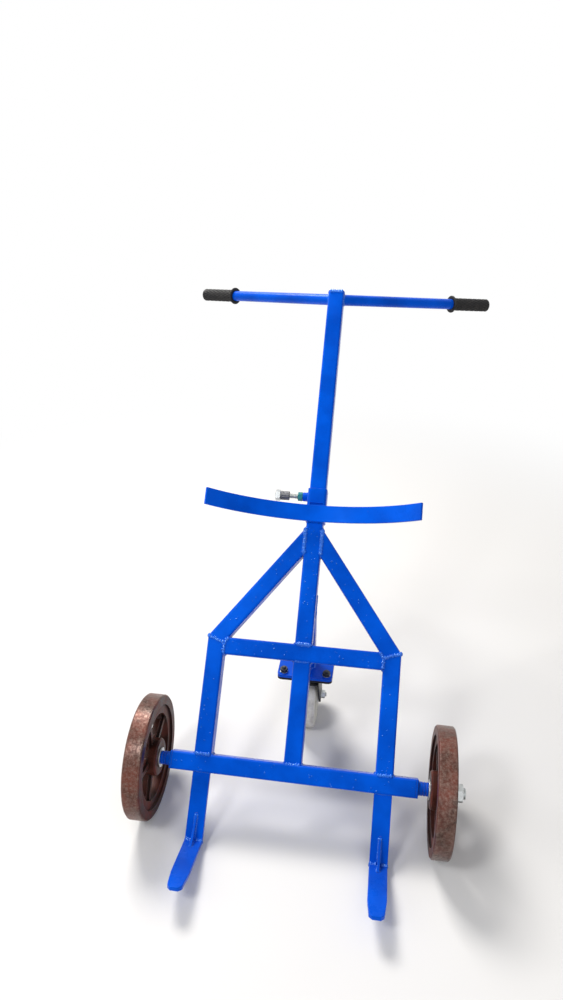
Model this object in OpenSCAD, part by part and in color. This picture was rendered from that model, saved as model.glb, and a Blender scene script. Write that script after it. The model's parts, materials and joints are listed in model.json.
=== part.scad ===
/* [Frame tube] */
// Side of the square tube
tube = 40; // [30:1:50]
// Wall of the square tube
tube_wall = 3; // [2:0.5:4]
// Outer corner radius of the square tube
tube_round = 5; // [4:0.5:7]
// Lean of the frame from upright when it stands on the caster, in degrees
lean = 42; // [34:1:48]

/* [Lower frame] */
// Distance between the middles of the two side posts
post_spacing = 412; // [340:2:500]
// Height of the upper crossbar's middle above the axle, along the frame
crossbar_z = 266; // [220:2:320]
// Height of the bend between side post and brace above the axle, along the frame
brace_knee_z = 280; // [250:2:340]
// Height above the axle where the brace middles meet the mast's middle
brace_apex_z = 556; // [480:2:640]
// Length of the axle bar with its end plates
axle_bar_len = 562; // [500:2:660]
// Thickness of the plate that closes each end of the axle bar
end_plate = 5; // [3:0.5:8]
// How far the lower centre post stands back from the bars' front
post_setback = 5; // [0:0.5:8]

/* [Handle] */
// Length of the mast from the axle to its top, along the frame
mast_top = 1190; // [980:2:1420]
// Thickness of the plate that closes the mast's top
mast_cap_t = 3; // [2:0.5:5]
// Outer diameter of the handle tube
arm_d = 28; // [24:1:32]
// Wall of the handle tube
arm_wall = 2.5; // [2:0.5:3]
// Length of one handle arm from the mast's middle to its end
arm_len = 476; // [380:2:560]
// Angle by which each arm is swept back, in degrees
arm_sweep = 32; // [10:1:40]
// Angle of the sweep's plane from the mast's upward direction, in degrees
arm_plane = 62; // [50:1:80]
// Distance of the arms' middles below the mast's top
arm_drop = 22; // [20:1:30]

/* [Grips] */
// Length of a grip without its end wall
grip_len = 118; // [90:2:140]
// Outer diameter over the grip's ribs
grip_d = 34; // [32:0.5:40]
// Depth of the grooves between the ribs
grip_groove = 1.2; // [0.6:0.1:1.6]
// Number of ribs on a grip
grip_ribs = 16; // [8:1:22]
// Diameter of the hand stop at the grip's inner end
grip_flange_d = 46; // [42:1:56]
// Thickness of the hand stop
grip_flange_t = 5; // [3:0.5:8]
// Thickness of the grip's closed end
grip_end_t = 4; // [3:0.5:6]

/* [Toes] */
// Length of a toe's shank below the axle's middle, to the bend
toe_drop = 165; // [130:1:172]
// How far the toe's shank stands back from the axle bar's front
toe_setback = 13; // [0:1:20]
// Thickness of the toe's flat bar
toe_t = 10; // [8:0.5:12]
// Length of the toe beyond the bend
toe_len = 157; // [110:1:190]
// Turn of the toe at the bend, in degrees
toe_bend = 66; // [60:1:80]
// Width taken off each side of the toe's tip
toe_taper = 4; // [2:0.5:8]
// Length of the toe's tapered tip
toe_taper_len = 46; // [20:1:60]
// Corner cut at the toe's tip
toe_corner = 7; // [3:0.5:10]
// Height of the web plate in the toe's bend
gusset_h = 58; // [30:1:70]
// Length of the web plate along the toe
gusset_l = 28; // [20:1:50]
// Thickness of the web plate
gusset_t = 6; // [4:0.5:8]
// Length of the stay plate's seat on the shank, below the axle bar
stay_drop = 76; // [50:1:90]
// Thickness of the stay plates behind the toes and the caster arm
stay_t = 6; // [4:0.5:8]

/* [Wheels] */
// Diameter of the wheels
wheel_d = 280; // [240:2:340]
// Width of the wheel's rim
rim_w = 40; // [36:1:60]
// Thickness of the rim's tread ring
rim_ring = 22; // [14:0.5:26]
// Height of the rim's inner bead below the tread ring
rim_bead = 20; // [10:0.5:24]
// Step of the inner bead in from each rim face
rim_step = 5; // [3:0.5:9]
// Bevel of the tread's edges
rim_bevel = 3; // [1:0.5:5]
// Diameter of the hub
hub_d = 84; // [70:1:100]
// Length of the hub along the axle
hub_len = 52; // [48:1:70]
// Number of spokes
spokes = 5; // [3:1:6]
// Width of a spoke
spoke_w = 30; // [24:1:40]
// Thickness of the spokes' web
spoke_t = 12; // [8:0.5:18]
// Radius of the fillets at a spoke's ends
spoke_fillet = 10; // [5:1:12]
// Width of the rib along a spoke
rib_w = 10; // [6:1:14]
// Height of the rib above the spoke's web
rib_h = 5; // [2:0.5:8]
// Distance of the spoke web's middle from the rim's middle
web_shift = 0; // [-6:1:6]

/* [Axle] */
// Diameter of the journal that the wheel runs on
journal_d = 25; // [20:1:30]
// Step of the shoulder outside the axle bar beyond the journal
shoulder_step = 2.5; // [1.5:0.5:5]
// Length of the shoulder outside the axle bar
shoulder_len = 23; // [14:1:40]
// Depth of the stub's root inside the axle bar
stub_root = 45; // [30:1:60]
// Wall of the hub's bush round the journal
hub_bush_wall = 4.5; // [3:0.5:8]
// Diameter of the axle washers
washer_d = 44; // [40:1:56]
// Thickness of the axle washers
washer_t = 3; // [2:0.5:4]
// Size of the axle nut across its flats
axle_nut_af = 36; // [32:1:46]
// Thickness of the axle nut
axle_nut_t = 16; // [12:0.5:20]
// Length of thread standing out of the axle nut
axle_tail = 6; // [3:0.5:10]

/* [Saddle] */
// Height of the saddle collar's top above the axle, along the frame
collar_top = 660; // [650:2:760]
// Length of the saddle collar
collar_len = 82; // [70:1:100]
// Length of the collar's whole front wall above the saddle bar
collar_front = 37; // [30:1:50]
// Wall of the saddle collar
collar_wall = 3; // [2.5:0.5:5]
// Inner radius of the curved saddle bar
saddle_r = 330; // [290:2:420]
// Distance between the saddle bar's ends
saddle_span = 486; // [400:2:520]
// Height of the saddle bar
saddle_h = 40; // [30:1:50]
// Thickness of the saddle bar
saddle_t = 6; // [4:0.5:10]
// Depth of the block that carries the saddle bar in front of the collar
block_t = 8; // [5:0.5:14]
// How far that block laps over each side of the collar's front window
block_lap = 2.65; // [2:0.05:5]
// Gap between the collar's front wall and the saddle bar's top edge
saddle_gap = 8; // [4:0.5:12]

/* [Clamp] */
// Diameter of the clamp screw
screw_d = 12; // [10:1:16]
// Diameter of the clamp boss on the collar
boss_d = 22; // [20:1:28]
// Length of the clamp boss
boss_len = 13; // [9:0.5:20]
// Size of the lock nut across its flats
lock_nut_af = 19; // [17:1:24]
// Thickness of the lock nut
lock_nut_t = 12; // [8:0.5:14]
// Length of bare screw between lock nut and knob
screw_bare = 21; // [12:1:30]
// Diameter of the clamp knob
knob_d = 22; // [18:0.5:30]
// Length of the clamp knob
knob_len = 22; // [16:1:30]
// Thickness of the hex end that holds the knob
knob_nut_t = 12; // [7:0.5:14]
// Size of the hex end across its flats
knob_nut_af = 24; // [19:1:27]

/* [Caster] */
// Height along the frame where the caster arm leaves the mast
caster_arm_z = 378; // [340:2:440]
// Height of the caster's mounting face above the floor
caster_h = 226; // [208:1:250]
// Width of the caster plates across the frame
plate_w = 135; // [120:1:150]
// Depth of the caster plates
plate_l = 110; // [100:1:130]
// Thickness of the welded mounting plate
plate_t = 8; // [6:0.5:12]
// Thickness of the caster's own plate
top_plate_t = 6; // [4:0.5:8]
// Hole spacing across the frame
bolt_x = 105; // [96:1:110]
// Hole spacing along the frame
bolt_y = 80; // [75:1:90]
// Diameter of the caster bolts
bolt_d = 10; // [8:1:10]
// Diameter of the caster wheel
caster_d = 176; // [150:2:180]
// Width of the caster wheel
caster_w = 48; // [36:1:58]
// Trail of the caster wheel behind its swivel
caster_trail = 50; // [36:1:60]
// Thickness of the fork's legs
fork_t = 5; // [4:0.5:7]
// Width of the fork's crown plate along the trail
crown_l = 84; // [76:1:96]
// Radius of the fork leg's round foot
fork_foot_r = 21; // [16:1:26]
// Diameter of the swivel's kingpin
kingpin_d = 16; // [14:1:20]
// Diameter of the balls in the swivel
ball_d = 8; // [6:0.5:9]
// Number of balls in the swivel
balls = 18; // [10:1:20]
// Diameter of the caster's axle bolt
caster_bolt_d = 12; // [10:1:14]
// Diameter of the sleeve that the caster wheel turns on
sleeve_d = 20; // [18:1:24]

/* [Fits] */
// Radial clearance of a turning fit
run_fit = 0.05; // [0.02:0.01:0.1]
// Clearance between the mast and the saddle collar, each side
slide_fit = 0.35; // [0.3:0.05:0.8]
// Free gap between parts that move past each other
free_gap = 0.3; // [0.2:0.05:0.6]

/* [Hidden] */
$fn = 64;

frame_blue = "#0b50c8";
oxide_red = "#6b3a30";
zinc = "#b4b8ba";
black_rubber = "#1d1c1e";
black_paint = "#202226";
nylon = "#d9d8d0";
bronze = "#8c6b3c";

half_tube = tube / 2;
post_x = post_spacing / 2;
wheel_r = wheel_d / 2;
bar_end_x = axle_bar_len / 2;
crossbar_top = crossbar_z + half_tube;
crossbar_bottom = crossbar_z - half_tube;
brace_angle = atan2(post_x, brace_apex_z - brace_knee_z);
cut = 4 * tube;

// Places along the axle, outwards from the bar's end
inner_washer_x = bar_end_x + shoulder_len;
hub_x = inner_washer_x + washer_t + free_gap;
outer_washer_x = hub_x + hub_len + free_gap;
axle_nut_x = outer_washer_x + washer_t;
axle_tail_x = axle_nut_x + axle_nut_t + axle_tail;
rim_inner_r = wheel_r - rim_ring;
bead_inner_r = rim_inner_r - rim_bead;
hub_r = hub_d / 2;
shoulder_d = journal_d + 2 * shoulder_step;
bush_d = journal_d + 2 * hub_bush_wall;
bush_fit = 0.02;

// Handle: the arms start at one point in front of the mast's middle
arm_start = [0, -tube / 5, mast_top - arm_drop];
arm_dir = [cos(arm_sweep), sin(arm_sweep) * sin(arm_plane), sin(arm_sweep) * cos(arm_plane)];
arm_r = arm_d / 2;
grip_r = grip_d / 2;
grip_start = arm_len - grip_len;
grip_bevel = 2;

// Toe: the mitre at its bend, and the shank's front face
toe_heel = toe_t * tan(toe_bend / 2);
toe_y = toe_setback - half_tube;

// Caster: the arm hangs straight down from the mast's back when the frame leans
caster_y = half_tube * cos(lean) + caster_arm_z * sin(lean);
mount_top = caster_h + plate_t;
top_plate_z = caster_h - top_plate_t;
race_r = 34;
race_t = 4;
ball_z = top_plate_z - race_t - free_gap - ball_d / 2;
cup_top = ball_z - ball_d / 2 - free_gap;
cup_t = 6;
cup_r = race_r + ball_d / 2 + 6;
crown_top = cup_top - cup_t;
crown_bottom = crown_top - fork_t;
fork_gap = caster_w + 10;
fork_w = fork_gap + 2 * fork_t;
caster_r = caster_d / 2;
bolt_af = 1.7 * bolt_d;
bolt_head_t = 0.64 * bolt_d;
bolt_nut_t = 0.8 * bolt_d;
bolt_washer_t = 2;
bolt_tail = 5;
caster_bolt_af = 1.58 * caster_bolt_d;
caster_bolt_head_t = 0.64 * caster_bolt_d;
caster_bolt_nut_t = 0.85 * caster_bolt_d;

// Clamp: places along X from the collar's left wall outwards
collar_in = half_tube + slide_fit;
collar_out = collar_in + collar_wall;
clamp_z = collar_top - collar_front / 2;
boss_end = collar_out + boss_len;
lock_nut_end = boss_end + free_gap + lock_nut_t;
knob_start = lock_nut_end + screw_bare;
knob_end = knob_start + knob_len;

// Saddle bar: its back bears on a block that bridges the collar's front window
saddle_back_r = saddle_r + saddle_t;
collar_round = tube_round + collar_wall;
window_half = collar_out - collar_round;
block_w = 2 * (window_half + block_lap);
saddle_center_y = -(collar_out + block_t + saddle_back_r);
saddle_half_angle = asin(saddle_span / 2 / saddle_r);
saddle_top = collar_top - collar_front - saddle_gap;
weld_fit = 0.05;

// Footprint along Y at rest, which puts the origin under the middle
arm_y = arm_dir[1] * cos(lean) + arm_dir[2] * sin(lean);
arm_across = sqrt(1 - arm_y * arm_y);
arm_start_y = arm_start[1] * cos(lean) + arm_start[2] * sin(lean);
grip_end_y = arm_start_y + (arm_len + grip_end_t) * arm_y + (grip_r - grip_bevel) * arm_across;
grip_edge_y = arm_start_y + (arm_len + grip_end_t - grip_bevel) * arm_y + grip_r * arm_across;
back_y = max(grip_end_y, grip_edge_y);
toe_knee_y = toe_y * cos(lean) - toe_drop * sin(lean);
toe_top_y = toe_knee_y - toe_len * sin(toe_bend + lean);
toe_under_y = toe_top_y + toe_t * cos(toe_bend + lean);
front_y = min(toe_top_y, toe_under_y);
origin_y = (front_y + back_y) / 2;

// Point where a line from p touches a circle, on the side that turn names
function touch(p, c, r, turn) =
    let (d = norm(p - c), a = acos(r / d), b = atan2(p[1] - c[1], p[0] - c[0]))
    c + r * [cos(b + turn * a), sin(b + turn * a)];

// Puts a piece of the upright frame at its resting lean, with the axle at wheel height
module resting() {
    translate([0, -origin_y, wheel_r])
        rotate([-lean, 0, 0])
            children();
}

// Puts a piece that is upright at rest, with y counted from the axle
module standing() {
    translate([0, -origin_y, 0])
        children();
}

module right_side() {
    children();
}

module left_side() {
    mirror([1, 0, 0])
        children();
}

module rounded_rectangle(w, l, r) {
    square([w - 2 * r, l], center = true);
    square([w, l - 2 * r], center = true);
    for (x = [-1, 1], y = [-1, 1])
        translate([x * (w / 2 - r), y * (l / 2 - r)])
            circle(r);
}

// Square tube along +Z from the origin
module square_tube(len) {
    difference() {
        linear_extrude(len)
            rounded_rectangle(tube, tube, tube_round);
        translate([0, 0, -1])
            linear_extrude(len + 2)
                rounded_rectangle(tube - 2 * tube_wall, tube - 2 * tube_wall, tube_round - tube_wall);
    }
}

// Square tube along X between two places
module tube_across(x0, x1) {
    translate([x0, 0, 0])
        rotate([0, 90, 0])
            square_tube(x1 - x0);
}

// Hexagon bar end with its corners turned down at 30 degrees, on both faces
module hex(af, len) {
    corner = af / 2 / cos(30);
    face = 0.96 * af / 2;
    rise = (corner - face) * tan(30);
    intersection() {
        rotate([0, 0, 30])
            cylinder(h = len, r = corner, $fn = 6);
        rotate_extrude()
            polygon([[0, 0], [face, 0], [corner, rise], [corner, len - rise], [face, len], [0, len]]);
    }
}

module hex_nut(af, len, bore) {
    difference() {
        hex(af, len);
        translate([0, 0, -1])
            cylinder(h = len + 2, r = bore);
    }
}

module washer(od, len, bore) {
    difference() {
        cylinder(h = len, d = od);
        translate([0, 0, -1])
            cylinder(h = len + 2, r = bore);
    }
}

// Turns a piece built along +Z so that it runs along +X from x
module along_x(x) {
    translate([x, 0, 0])
        rotate([0, 90, 0])
            children();
}

// Thin plate across the frame that bridges the corner between two faces, in the YZ plane
module stay_plate(a, corner, b, t) {
    run = norm(b - a);
    reach = abs((b[0] - a[0]) * (a[1] - corner[1]) - (a[0] - corner[0]) * (b[1] - a[1])) / run;
    k = t / reach;
    rotate([90, 0, 90])
        linear_extrude(tube - tube_round, center = true)
            polygon([a, b, b + (corner - b) * k, a + (corner - a) * k]);
}

// Mast and handle

module mast() {
    color(frame_blue)
        resting()
            translate([0, 0, crossbar_top])
                square_tube(mast_top - mast_cap_t - crossbar_top);
}

module mast_cap() {
    color(frame_blue)
        resting()
            translate([0, 0, mast_top - mast_cap_t])
                linear_extrude(mast_cap_t)
                    rounded_rectangle(tube, tube, tube_round);
}

// Runs a piece built along +Z along the right handle arm
module along_arm() {
    translate(arm_start)
        rotate([0, acos(arm_dir[2]), atan2(arm_dir[1], arm_dir[0])])
            children();
}

module handle_arm() {
    color(frame_blue)
        resting()
            difference() {
                along_arm()
                    cylinder(h = arm_len, r = arm_r);
                along_arm()
                    translate([0, 0, -1])
                        cylinder(h = arm_len + 2, r = arm_r - arm_wall);
                translate([-cut + half_tube, -cut / 2, mast_top - cut])
                    cube([cut, cut, 2 * cut]);
            }
}

// Half section of a grip: hand stop, ribs and closed end
module grip_section() {
    pitch = (grip_len - grip_flange_t) / grip_ribs;
    bore = arm_r + bush_fit;
    difference() {
        union() {
            square([grip_flange_d / 2, grip_flange_t]);
            square([grip_r - grip_groove, grip_len]);
            for (i = [0 : grip_ribs - 1])
                translate([0, grip_flange_t + i * pitch])
                    polygon([[0, 0], [grip_r - grip_groove, pitch * 0.2], [grip_r, pitch * 0.4],
                             [grip_r, pitch * 0.8], [grip_r - grip_groove, pitch], [0, pitch]]);
            translate([0, grip_len])
                polygon([[0, 0], [grip_r, 0], [grip_r, grip_end_t - grip_bevel],
                         [grip_r - grip_bevel, grip_end_t], [0, grip_end_t]]);
        }
        translate([-1, -1])
            square([bore + 1, grip_len + 1]);
    }
}

module grip() {
    color(black_rubber)
        resting()
            along_arm()
                translate([0, 0, grip_start])
                    rotate_extrude()
                        grip_section();
}

// Lower frame

// Half space on the upper side of the mitre between side post and brace
module above_mitre() {
    translate([post_x, 0, brace_knee_z])
        rotate([0, -brace_angle / 2, 0])
            translate([-cut / 2, -cut / 2, 0])
                cube([cut, cut, cut]);
}

module below_mitre() {
    translate([post_x, 0, brace_knee_z])
        rotate([0, -brace_angle / 2, 0])
            translate([-cut / 2, -cut / 2, -cut])
                cube([cut, cut, cut]);
}

// Half space on the outer side of the brace's lower face
module beyond_brace() {
    translate([post_x, 0, brace_knee_z])
        rotate([0, -brace_angle, 0])
            translate([-half_tube, -cut / 2, -cut / 2])
                cube([cut, cut, cut]);
}

module brace() {
    reach = norm([post_x, brace_apex_z - brace_knee_z]);
    color(frame_blue)
        resting()
            difference() {
                translate([post_x, 0, brace_knee_z])
                    rotate([0, -brace_angle, 0])
                        translate([0, 0, -tube])
                            square_tube(reach + 2 * tube);
                below_mitre();
                translate([half_tube - 2 * cut, -cut / 2, brace_knee_z])
                    cube([2 * cut, cut, 4 * cut]);
            }
}

module side_post() {
    color(frame_blue)
        resting()
            difference() {
                translate([post_x, 0, half_tube])
                    square_tube(brace_knee_z);
                above_mitre();
            }
}

module upper_crossbar() {
    inner = post_x - half_tube;
    color(frame_blue)
        resting()
            difference() {
                translate([0, 0, crossbar_z])
                    tube_across(-inner, inner);
                right_side()
                    beyond_brace();
                left_side()
                    beyond_brace();
            }
}

module lower_center_post() {
    color(frame_blue)
        resting()
            translate([0, post_setback, half_tube])
                square_tube(crossbar_bottom - half_tube);
}

module axle_bar() {
    inner = bar_end_x - end_plate;
    color(frame_blue)
        resting()
            tube_across(-inner, inner);
}

module axle_end_plate() {
    along_x(bar_end_x - end_plate)
        difference() {
            linear_extrude(end_plate)
                rounded_rectangle(tube, tube, tube_round);
            translate([0, 0, -1])
                cylinder(h = end_plate + 2, r = journal_d / 2 + bush_fit);
        }
}

module axle_end_plates() {
    color(frame_blue)
        resting() {
            right_side()
                axle_end_plate();
            left_side()
                axle_end_plate();
        }
}

// Root inside the bar, shoulder, journal and threaded tail, turned from one bar
module axle_stub() {
    tail_bevel = 2;
    color(frame_blue)
        resting()
            along_x(0)
                rotate_extrude()
                    polygon([[0, bar_end_x - stub_root], [journal_d / 2, bar_end_x - stub_root],
                             [journal_d / 2, bar_end_x], [shoulder_d / 2, bar_end_x],
                             [shoulder_d / 2, inner_washer_x], [journal_d / 2, inner_washer_x],
                             [journal_d / 2, axle_tail_x - tail_bevel],
                             [journal_d / 2 - tail_bevel, axle_tail_x], [0, axle_tail_x]]);
}

// Toes

module toe_shank() {
    color(frame_blue)
        resting()
            translate([post_x - half_tube, 0, 0])
                rotate([90, 0, 90])
                    linear_extrude(tube)
                        polygon([[toe_y, -half_tube], [toe_y, -toe_drop],
                                 [toe_y + toe_t, -toe_drop - toe_heel], [toe_y + toe_t, -half_tube]]);
}

// Toe beyond the bend, cut from a plate with a tapered and cornered tip
module toe_plate() {
    color(frame_blue)
        resting()
            translate([post_x, toe_y, -toe_drop])
                rotate([90 - toe_bend, 0, 0])
                    difference() {
                        translate([0, 0, -toe_t])
                            linear_extrude(toe_t)
                                polygon([[-half_tube, toe_heel], [half_tube, toe_heel],
                                         [half_tube, toe_taper_len - toe_len],
                                         [half_tube - toe_taper, toe_corner - toe_len],
                                         [half_tube - toe_taper - toe_corner, -toe_len],
                                         [-half_tube + toe_taper + toe_corner, -toe_len],
                                         [-half_tube + toe_taper, toe_corner - toe_len],
                                         [-half_tube, toe_taper_len - toe_len]]);
                        rotate([toe_bend / 2, 0, 0])
                            translate([-tube, 0, -2 * tube])
                                cube([2 * tube, 2 * tube, 3 * tube]);
                    }
}

// Web plate that stands in the toe's bend
module toe_gusset() {
    foot = [toe_y - gusset_l * sin(toe_bend), -toe_drop - gusset_l * cos(toe_bend)];
    color(frame_blue)
        resting()
            translate([post_x - gusset_t / 2, 0, 0])
                rotate([90, 0, 90])
                    linear_extrude(gusset_t)
                        polygon([[toe_y, -toe_drop], [toe_y, -toe_drop + gusset_h], foot]);
}

// Slanting plate from the axle bar's back edge to the back of the shank
module toe_stay() {
    corner = [toe_y + toe_t, -half_tube];
    color(frame_blue)
        resting()
            translate([post_x, 0, 0])
                stay_plate([half_tube - tube_round, -half_tube], corner, corner - [0, stay_drop], stay_t);
}

// Wheels

module rim_section() {
    polygon([[rim_inner_r, -rim_w / 2], [wheel_r - rim_bevel, -rim_w / 2],
             [wheel_r, rim_bevel - rim_w / 2], [wheel_r, rim_w / 2 - rim_bevel],
             [wheel_r - rim_bevel, rim_w / 2], [rim_inner_r, rim_w / 2]]);
    translate([bead_inner_r, rim_step - rim_w / 2])
        square([rim_bead + 1, rim_w - 2 * rim_step]);
}

module hub_section() {
    edge = 3;
    polygon([[bush_d / 2, -hub_len / 2], [hub_r - edge, -hub_len / 2], [hub_r, edge - hub_len / 2],
             [hub_r, hub_len / 2 - edge], [hub_r - edge, hub_len / 2], [bush_d / 2, hub_len / 2]]);
}

// Fillet between a spoke's edge and a round wall of radius r, on the inner or outer side of it
module spoke_root(r, side) {
    x = spoke_w / 2 + spoke_fillet;
    reach = r + side * spoke_fillet;
    y = sqrt(reach * reach - x * x);
    wall = (r - side) / reach;
    difference() {
        polygon([[0, y], [x, y], [x * wall, y * wall], [0, r - side]]);
        translate([x, y])
            circle(spoke_fillet);
    }
}

module spoke_outline() {
    translate([-spoke_w / 2, hub_r - 4])
        square([spoke_w, bead_inner_r - hub_r + 4]);
    for (flip = [0, 1])
        mirror([flip, 0]) {
            spoke_root(bead_inner_r, -1);
            spoke_root(hub_r, 1);
        }
}

// Cast wheel about Z: rim, hub and ribbed spokes in one piece
module cast_wheel() {
    rib_len = bead_inner_r + 1 - (hub_r - 4);
    rotate_extrude()
        rim_section();
    rotate_extrude()
        hub_section();
    for (i = [0 : spokes - 1])
        rotate([0, 0, 270 + 360 * (i + 0.5) / spokes])
            translate([0, 0, web_shift]) {
                linear_extrude(spoke_t, center = true)
                    spoke_outline();
                translate([-rib_w / 2, hub_r - 4, -spoke_t / 2 - rib_h])
                    cube([rib_w, rib_len, spoke_t + 2 * rib_h]);
            }
}

module wheel() {
    color(oxide_red)
        standing()
            translate([0, 0, wheel_r])
                along_x(hub_x + hub_len / 2)
                    cast_wheel();
}

module hub_bush() {
    color(bronze)
        standing()
            translate([0, 0, wheel_r])
                along_x(hub_x)
                    difference() {
                        cylinder(h = hub_len, r = bush_d / 2 - bush_fit);
                        translate([0, 0, -1])
                            cylinder(h = hub_len + 2, r = journal_d / 2 + run_fit);
                    }
}

module axle_washer(x) {
    along_x(x)
        washer(washer_d, washer_t, journal_d / 2 + bush_fit);
}

module inner_washers() {
    color(zinc)
        resting() {
            right_side()
                axle_washer(inner_washer_x);
            left_side()
                axle_washer(inner_washer_x);
        }
}

module outer_washers() {
    color(zinc)
        resting() {
            right_side()
                axle_washer(outer_washer_x);
            left_side()
                axle_washer(outer_washer_x);
        }
}

module axle_nut() {
    along_x(axle_nut_x)
        hex_nut(axle_nut_af, axle_nut_t, journal_d / 2 + bush_fit);
}

module axle_nuts() {
    color(zinc)
        resting() {
            right_side()
                axle_nut();
            left_side()
                axle_nut();
        }
}

// Saddle

module saddle_collar() {
    window_h = collar_len - collar_front;
    color(frame_blue)
        resting()
            difference() {
                translate([0, 0, collar_top - collar_len])
                    linear_extrude(collar_len)
                        difference() {
                            rounded_rectangle(2 * collar_out, 2 * collar_out, collar_round);
                            rounded_rectangle(2 * collar_in, 2 * collar_in, tube_round);
                        }
                translate([-window_half, -2 * collar_out, collar_top - collar_len - 1])
                    cube([2 * window_half, 2 * collar_out, window_h + 1]);
                translate([0, 0, clamp_z])
                    rotate([0, -90, 0])
                        cylinder(h = cut, r = screw_d / 2 + free_gap);
            }
}

// Block between collar and saddle bar, with its front hollowed to the bar's back
module saddle_block() {
    color(frame_blue)
        resting()
            difference() {
                translate([-block_w / 2, -collar_out - 2 * block_t, saddle_top - saddle_h])
                    cube([block_w, 2 * block_t, saddle_h]);
                translate([0, saddle_center_y, saddle_top - saddle_h - 1])
                    cylinder(h = saddle_h + 2, r = saddle_back_r + weld_fit, $fn = 128);
            }
}

module saddle_bar() {
    color(frame_blue)
        resting()
            translate([0, saddle_center_y, saddle_top - saddle_h])
                rotate([0, 0, 90 - saddle_half_angle])
                    rotate_extrude(angle = 2 * saddle_half_angle, $fn = 128)
                        translate([saddle_r, 0])
                            square([saddle_t, saddle_h]);
}

// Clamp: everything is built along +Z and turned to run to the left
module clamp_axis() {
    resting()
        translate([0, 0, clamp_z])
            rotate([0, -90, 0])
                children();
}

module clamp_boss() {
    color(frame_blue)
        clamp_axis()
            translate([0, 0, collar_out])
                washer(boss_d, boss_len, screw_d / 2 + run_fit);
}

module clamp_screw() {
    tip = half_tube + free_gap;
    color(zinc)
        clamp_axis()
            translate([0, 0, tip])
                cylinder(h = knob_end + knob_nut_t + 2 - tip, d = screw_d);
}

module clamp_lock_nut() {
    color(zinc)
        clamp_axis()
            translate([0, 0, boss_end + free_gap])
                hex_nut(lock_nut_af, lock_nut_t, screw_d / 2 + bush_fit);
}

module clamp_knob() {
    flutes = 10;
    flute_r = 2.2;
    color(black_paint)
        clamp_axis()
            translate([0, 0, knob_start])
                difference() {
                    washer(knob_d, knob_len, screw_d / 2 + bush_fit);
                    for (i = [0 : flutes - 1])
                        rotate([0, 0, 360 * i / flutes])
                            translate([knob_d / 2 + flute_r * 0.6, 0, -1])
                                cylinder(h = knob_len + 2, r = flute_r, $fn = 24);
                }
}

module clamp_knob_nut() {
    color(zinc)
        clamp_axis()
            translate([0, 0, knob_end])
                hex_nut(knob_nut_af, knob_nut_t, screw_d / 2 + bush_fit);
}

// Caster

module caster_arm() {
    color(frame_blue)
        difference() {
            standing()
                translate([0, caster_y, mount_top])
                    square_tube(2 * cut);
            resting()
                translate([-cut, half_tube - 4 * cut, -cut])
                    cube([2 * cut, 4 * cut, mast_top + cut]);
        }
}

// Slanting plate behind the joint of caster arm and mast
module caster_arm_stay() {
    seat_up = 95;
    seat_down = 55;
    corner = [half_tube, caster_arm_z + half_tube / sin(lean)];
    down = [sin(lean), -cos(lean)];
    color(frame_blue)
        resting()
            stay_plate(corner + [0, seat_up], corner, corner + seat_down * down, stay_t);
}

module bolt_places() {
    for (x = [-1, 1], y = [-1, 1])
        translate([x * bolt_x / 2, caster_y + y * bolt_y / 2, 0])
            children();
}

// Caster plate with rounded corners and its four holes
module drilled_plate(z, t) {
    difference() {
        translate([0, caster_y, z])
            linear_extrude(t)
                rounded_rectangle(plate_w, plate_l, 10);
        bolt_places()
            translate([0, 0, z - 1])
                cylinder(h = t + 2, r = bolt_d / 2 + free_gap);
    }
}

module caster_mount_plate() {
    color(frame_blue)
        standing()
            drilled_plate(caster_h, plate_t);
}

// Caster's own plate with the ring that carries the upper ball track
module caster_top_plate() {
    color(black_paint)
        standing()
            difference() {
                union() {
                    drilled_plate(top_plate_z, top_plate_t);
                    translate([0, caster_y, top_plate_z - race_t])
                        cylinder(h = race_t + 1, r = race_r + ball_d / 2 + 2);
                }
                translate([0, caster_y, top_plate_z - race_t - 1])
                    cylinder(h = race_t + top_plate_t + 2, r = kingpin_d / 2 + bush_fit);
            }
}

module caster_bolts() {
    bolt_end = mount_top + bolt_washer_t + bolt_nut_t + bolt_tail;
    color(zinc)
        standing()
            bolt_places() {
                translate([0, 0, top_plate_z - bolt_head_t])
                    hex(bolt_af, bolt_head_t);
                translate([0, 0, top_plate_z - 1])
                    cylinder(h = bolt_end - top_plate_z + 1, d = bolt_d);
            }
}

module caster_bolt_washers() {
    color(zinc)
        standing()
            bolt_places()
                translate([0, 0, mount_top])
                    washer(2 * bolt_d, bolt_washer_t, bolt_d / 2 + bush_fit);
}

module caster_nuts() {
    color(zinc)
        standing()
            bolt_places()
                translate([0, 0, mount_top + bolt_washer_t])
                    hex_nut(bolt_af, bolt_nut_t, bolt_d / 2 + bush_fit);
}

// Kingpin with its head under the fork's crown
module caster_kingpin() {
    head_t = 5;
    color(zinc)
        standing()
            translate([0, caster_y, 0]) {
                translate([0, 0, crown_bottom - free_gap - head_t])
                    cylinder(h = head_t, d = kingpin_d + 10);
                translate([0, 0, crown_bottom - free_gap - 1])
                    cylinder(h = top_plate_z + top_plate_t - crown_bottom + free_gap + 1, d = kingpin_d);
            }
}

module caster_swivel_balls() {
    color(zinc)
        standing()
            for (i = [0 : balls - 1])
                translate([race_r * cos(360 * i / balls), caster_y + race_r * sin(360 * i / balls), ball_z])
                    sphere(d = ball_d, $fn = 32);
}

// One fork leg in the plane of the trail, from the crown to the axle
module fork_leg_outline() {
    axle = [caster_trail, caster_r];
    front = [-crown_l / 2 + 6, crown_bottom];
    back = [crown_l / 2, crown_bottom];
    polygon([[-crown_l / 2, crown_top], front, touch(front, axle, fork_foot_r - 0.5, 1), axle,
             touch(back, axle, fork_foot_r - 0.5, -1), back, [crown_l / 2, crown_top]]);
    translate(axle)
        circle(fork_foot_r);
}

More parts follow.
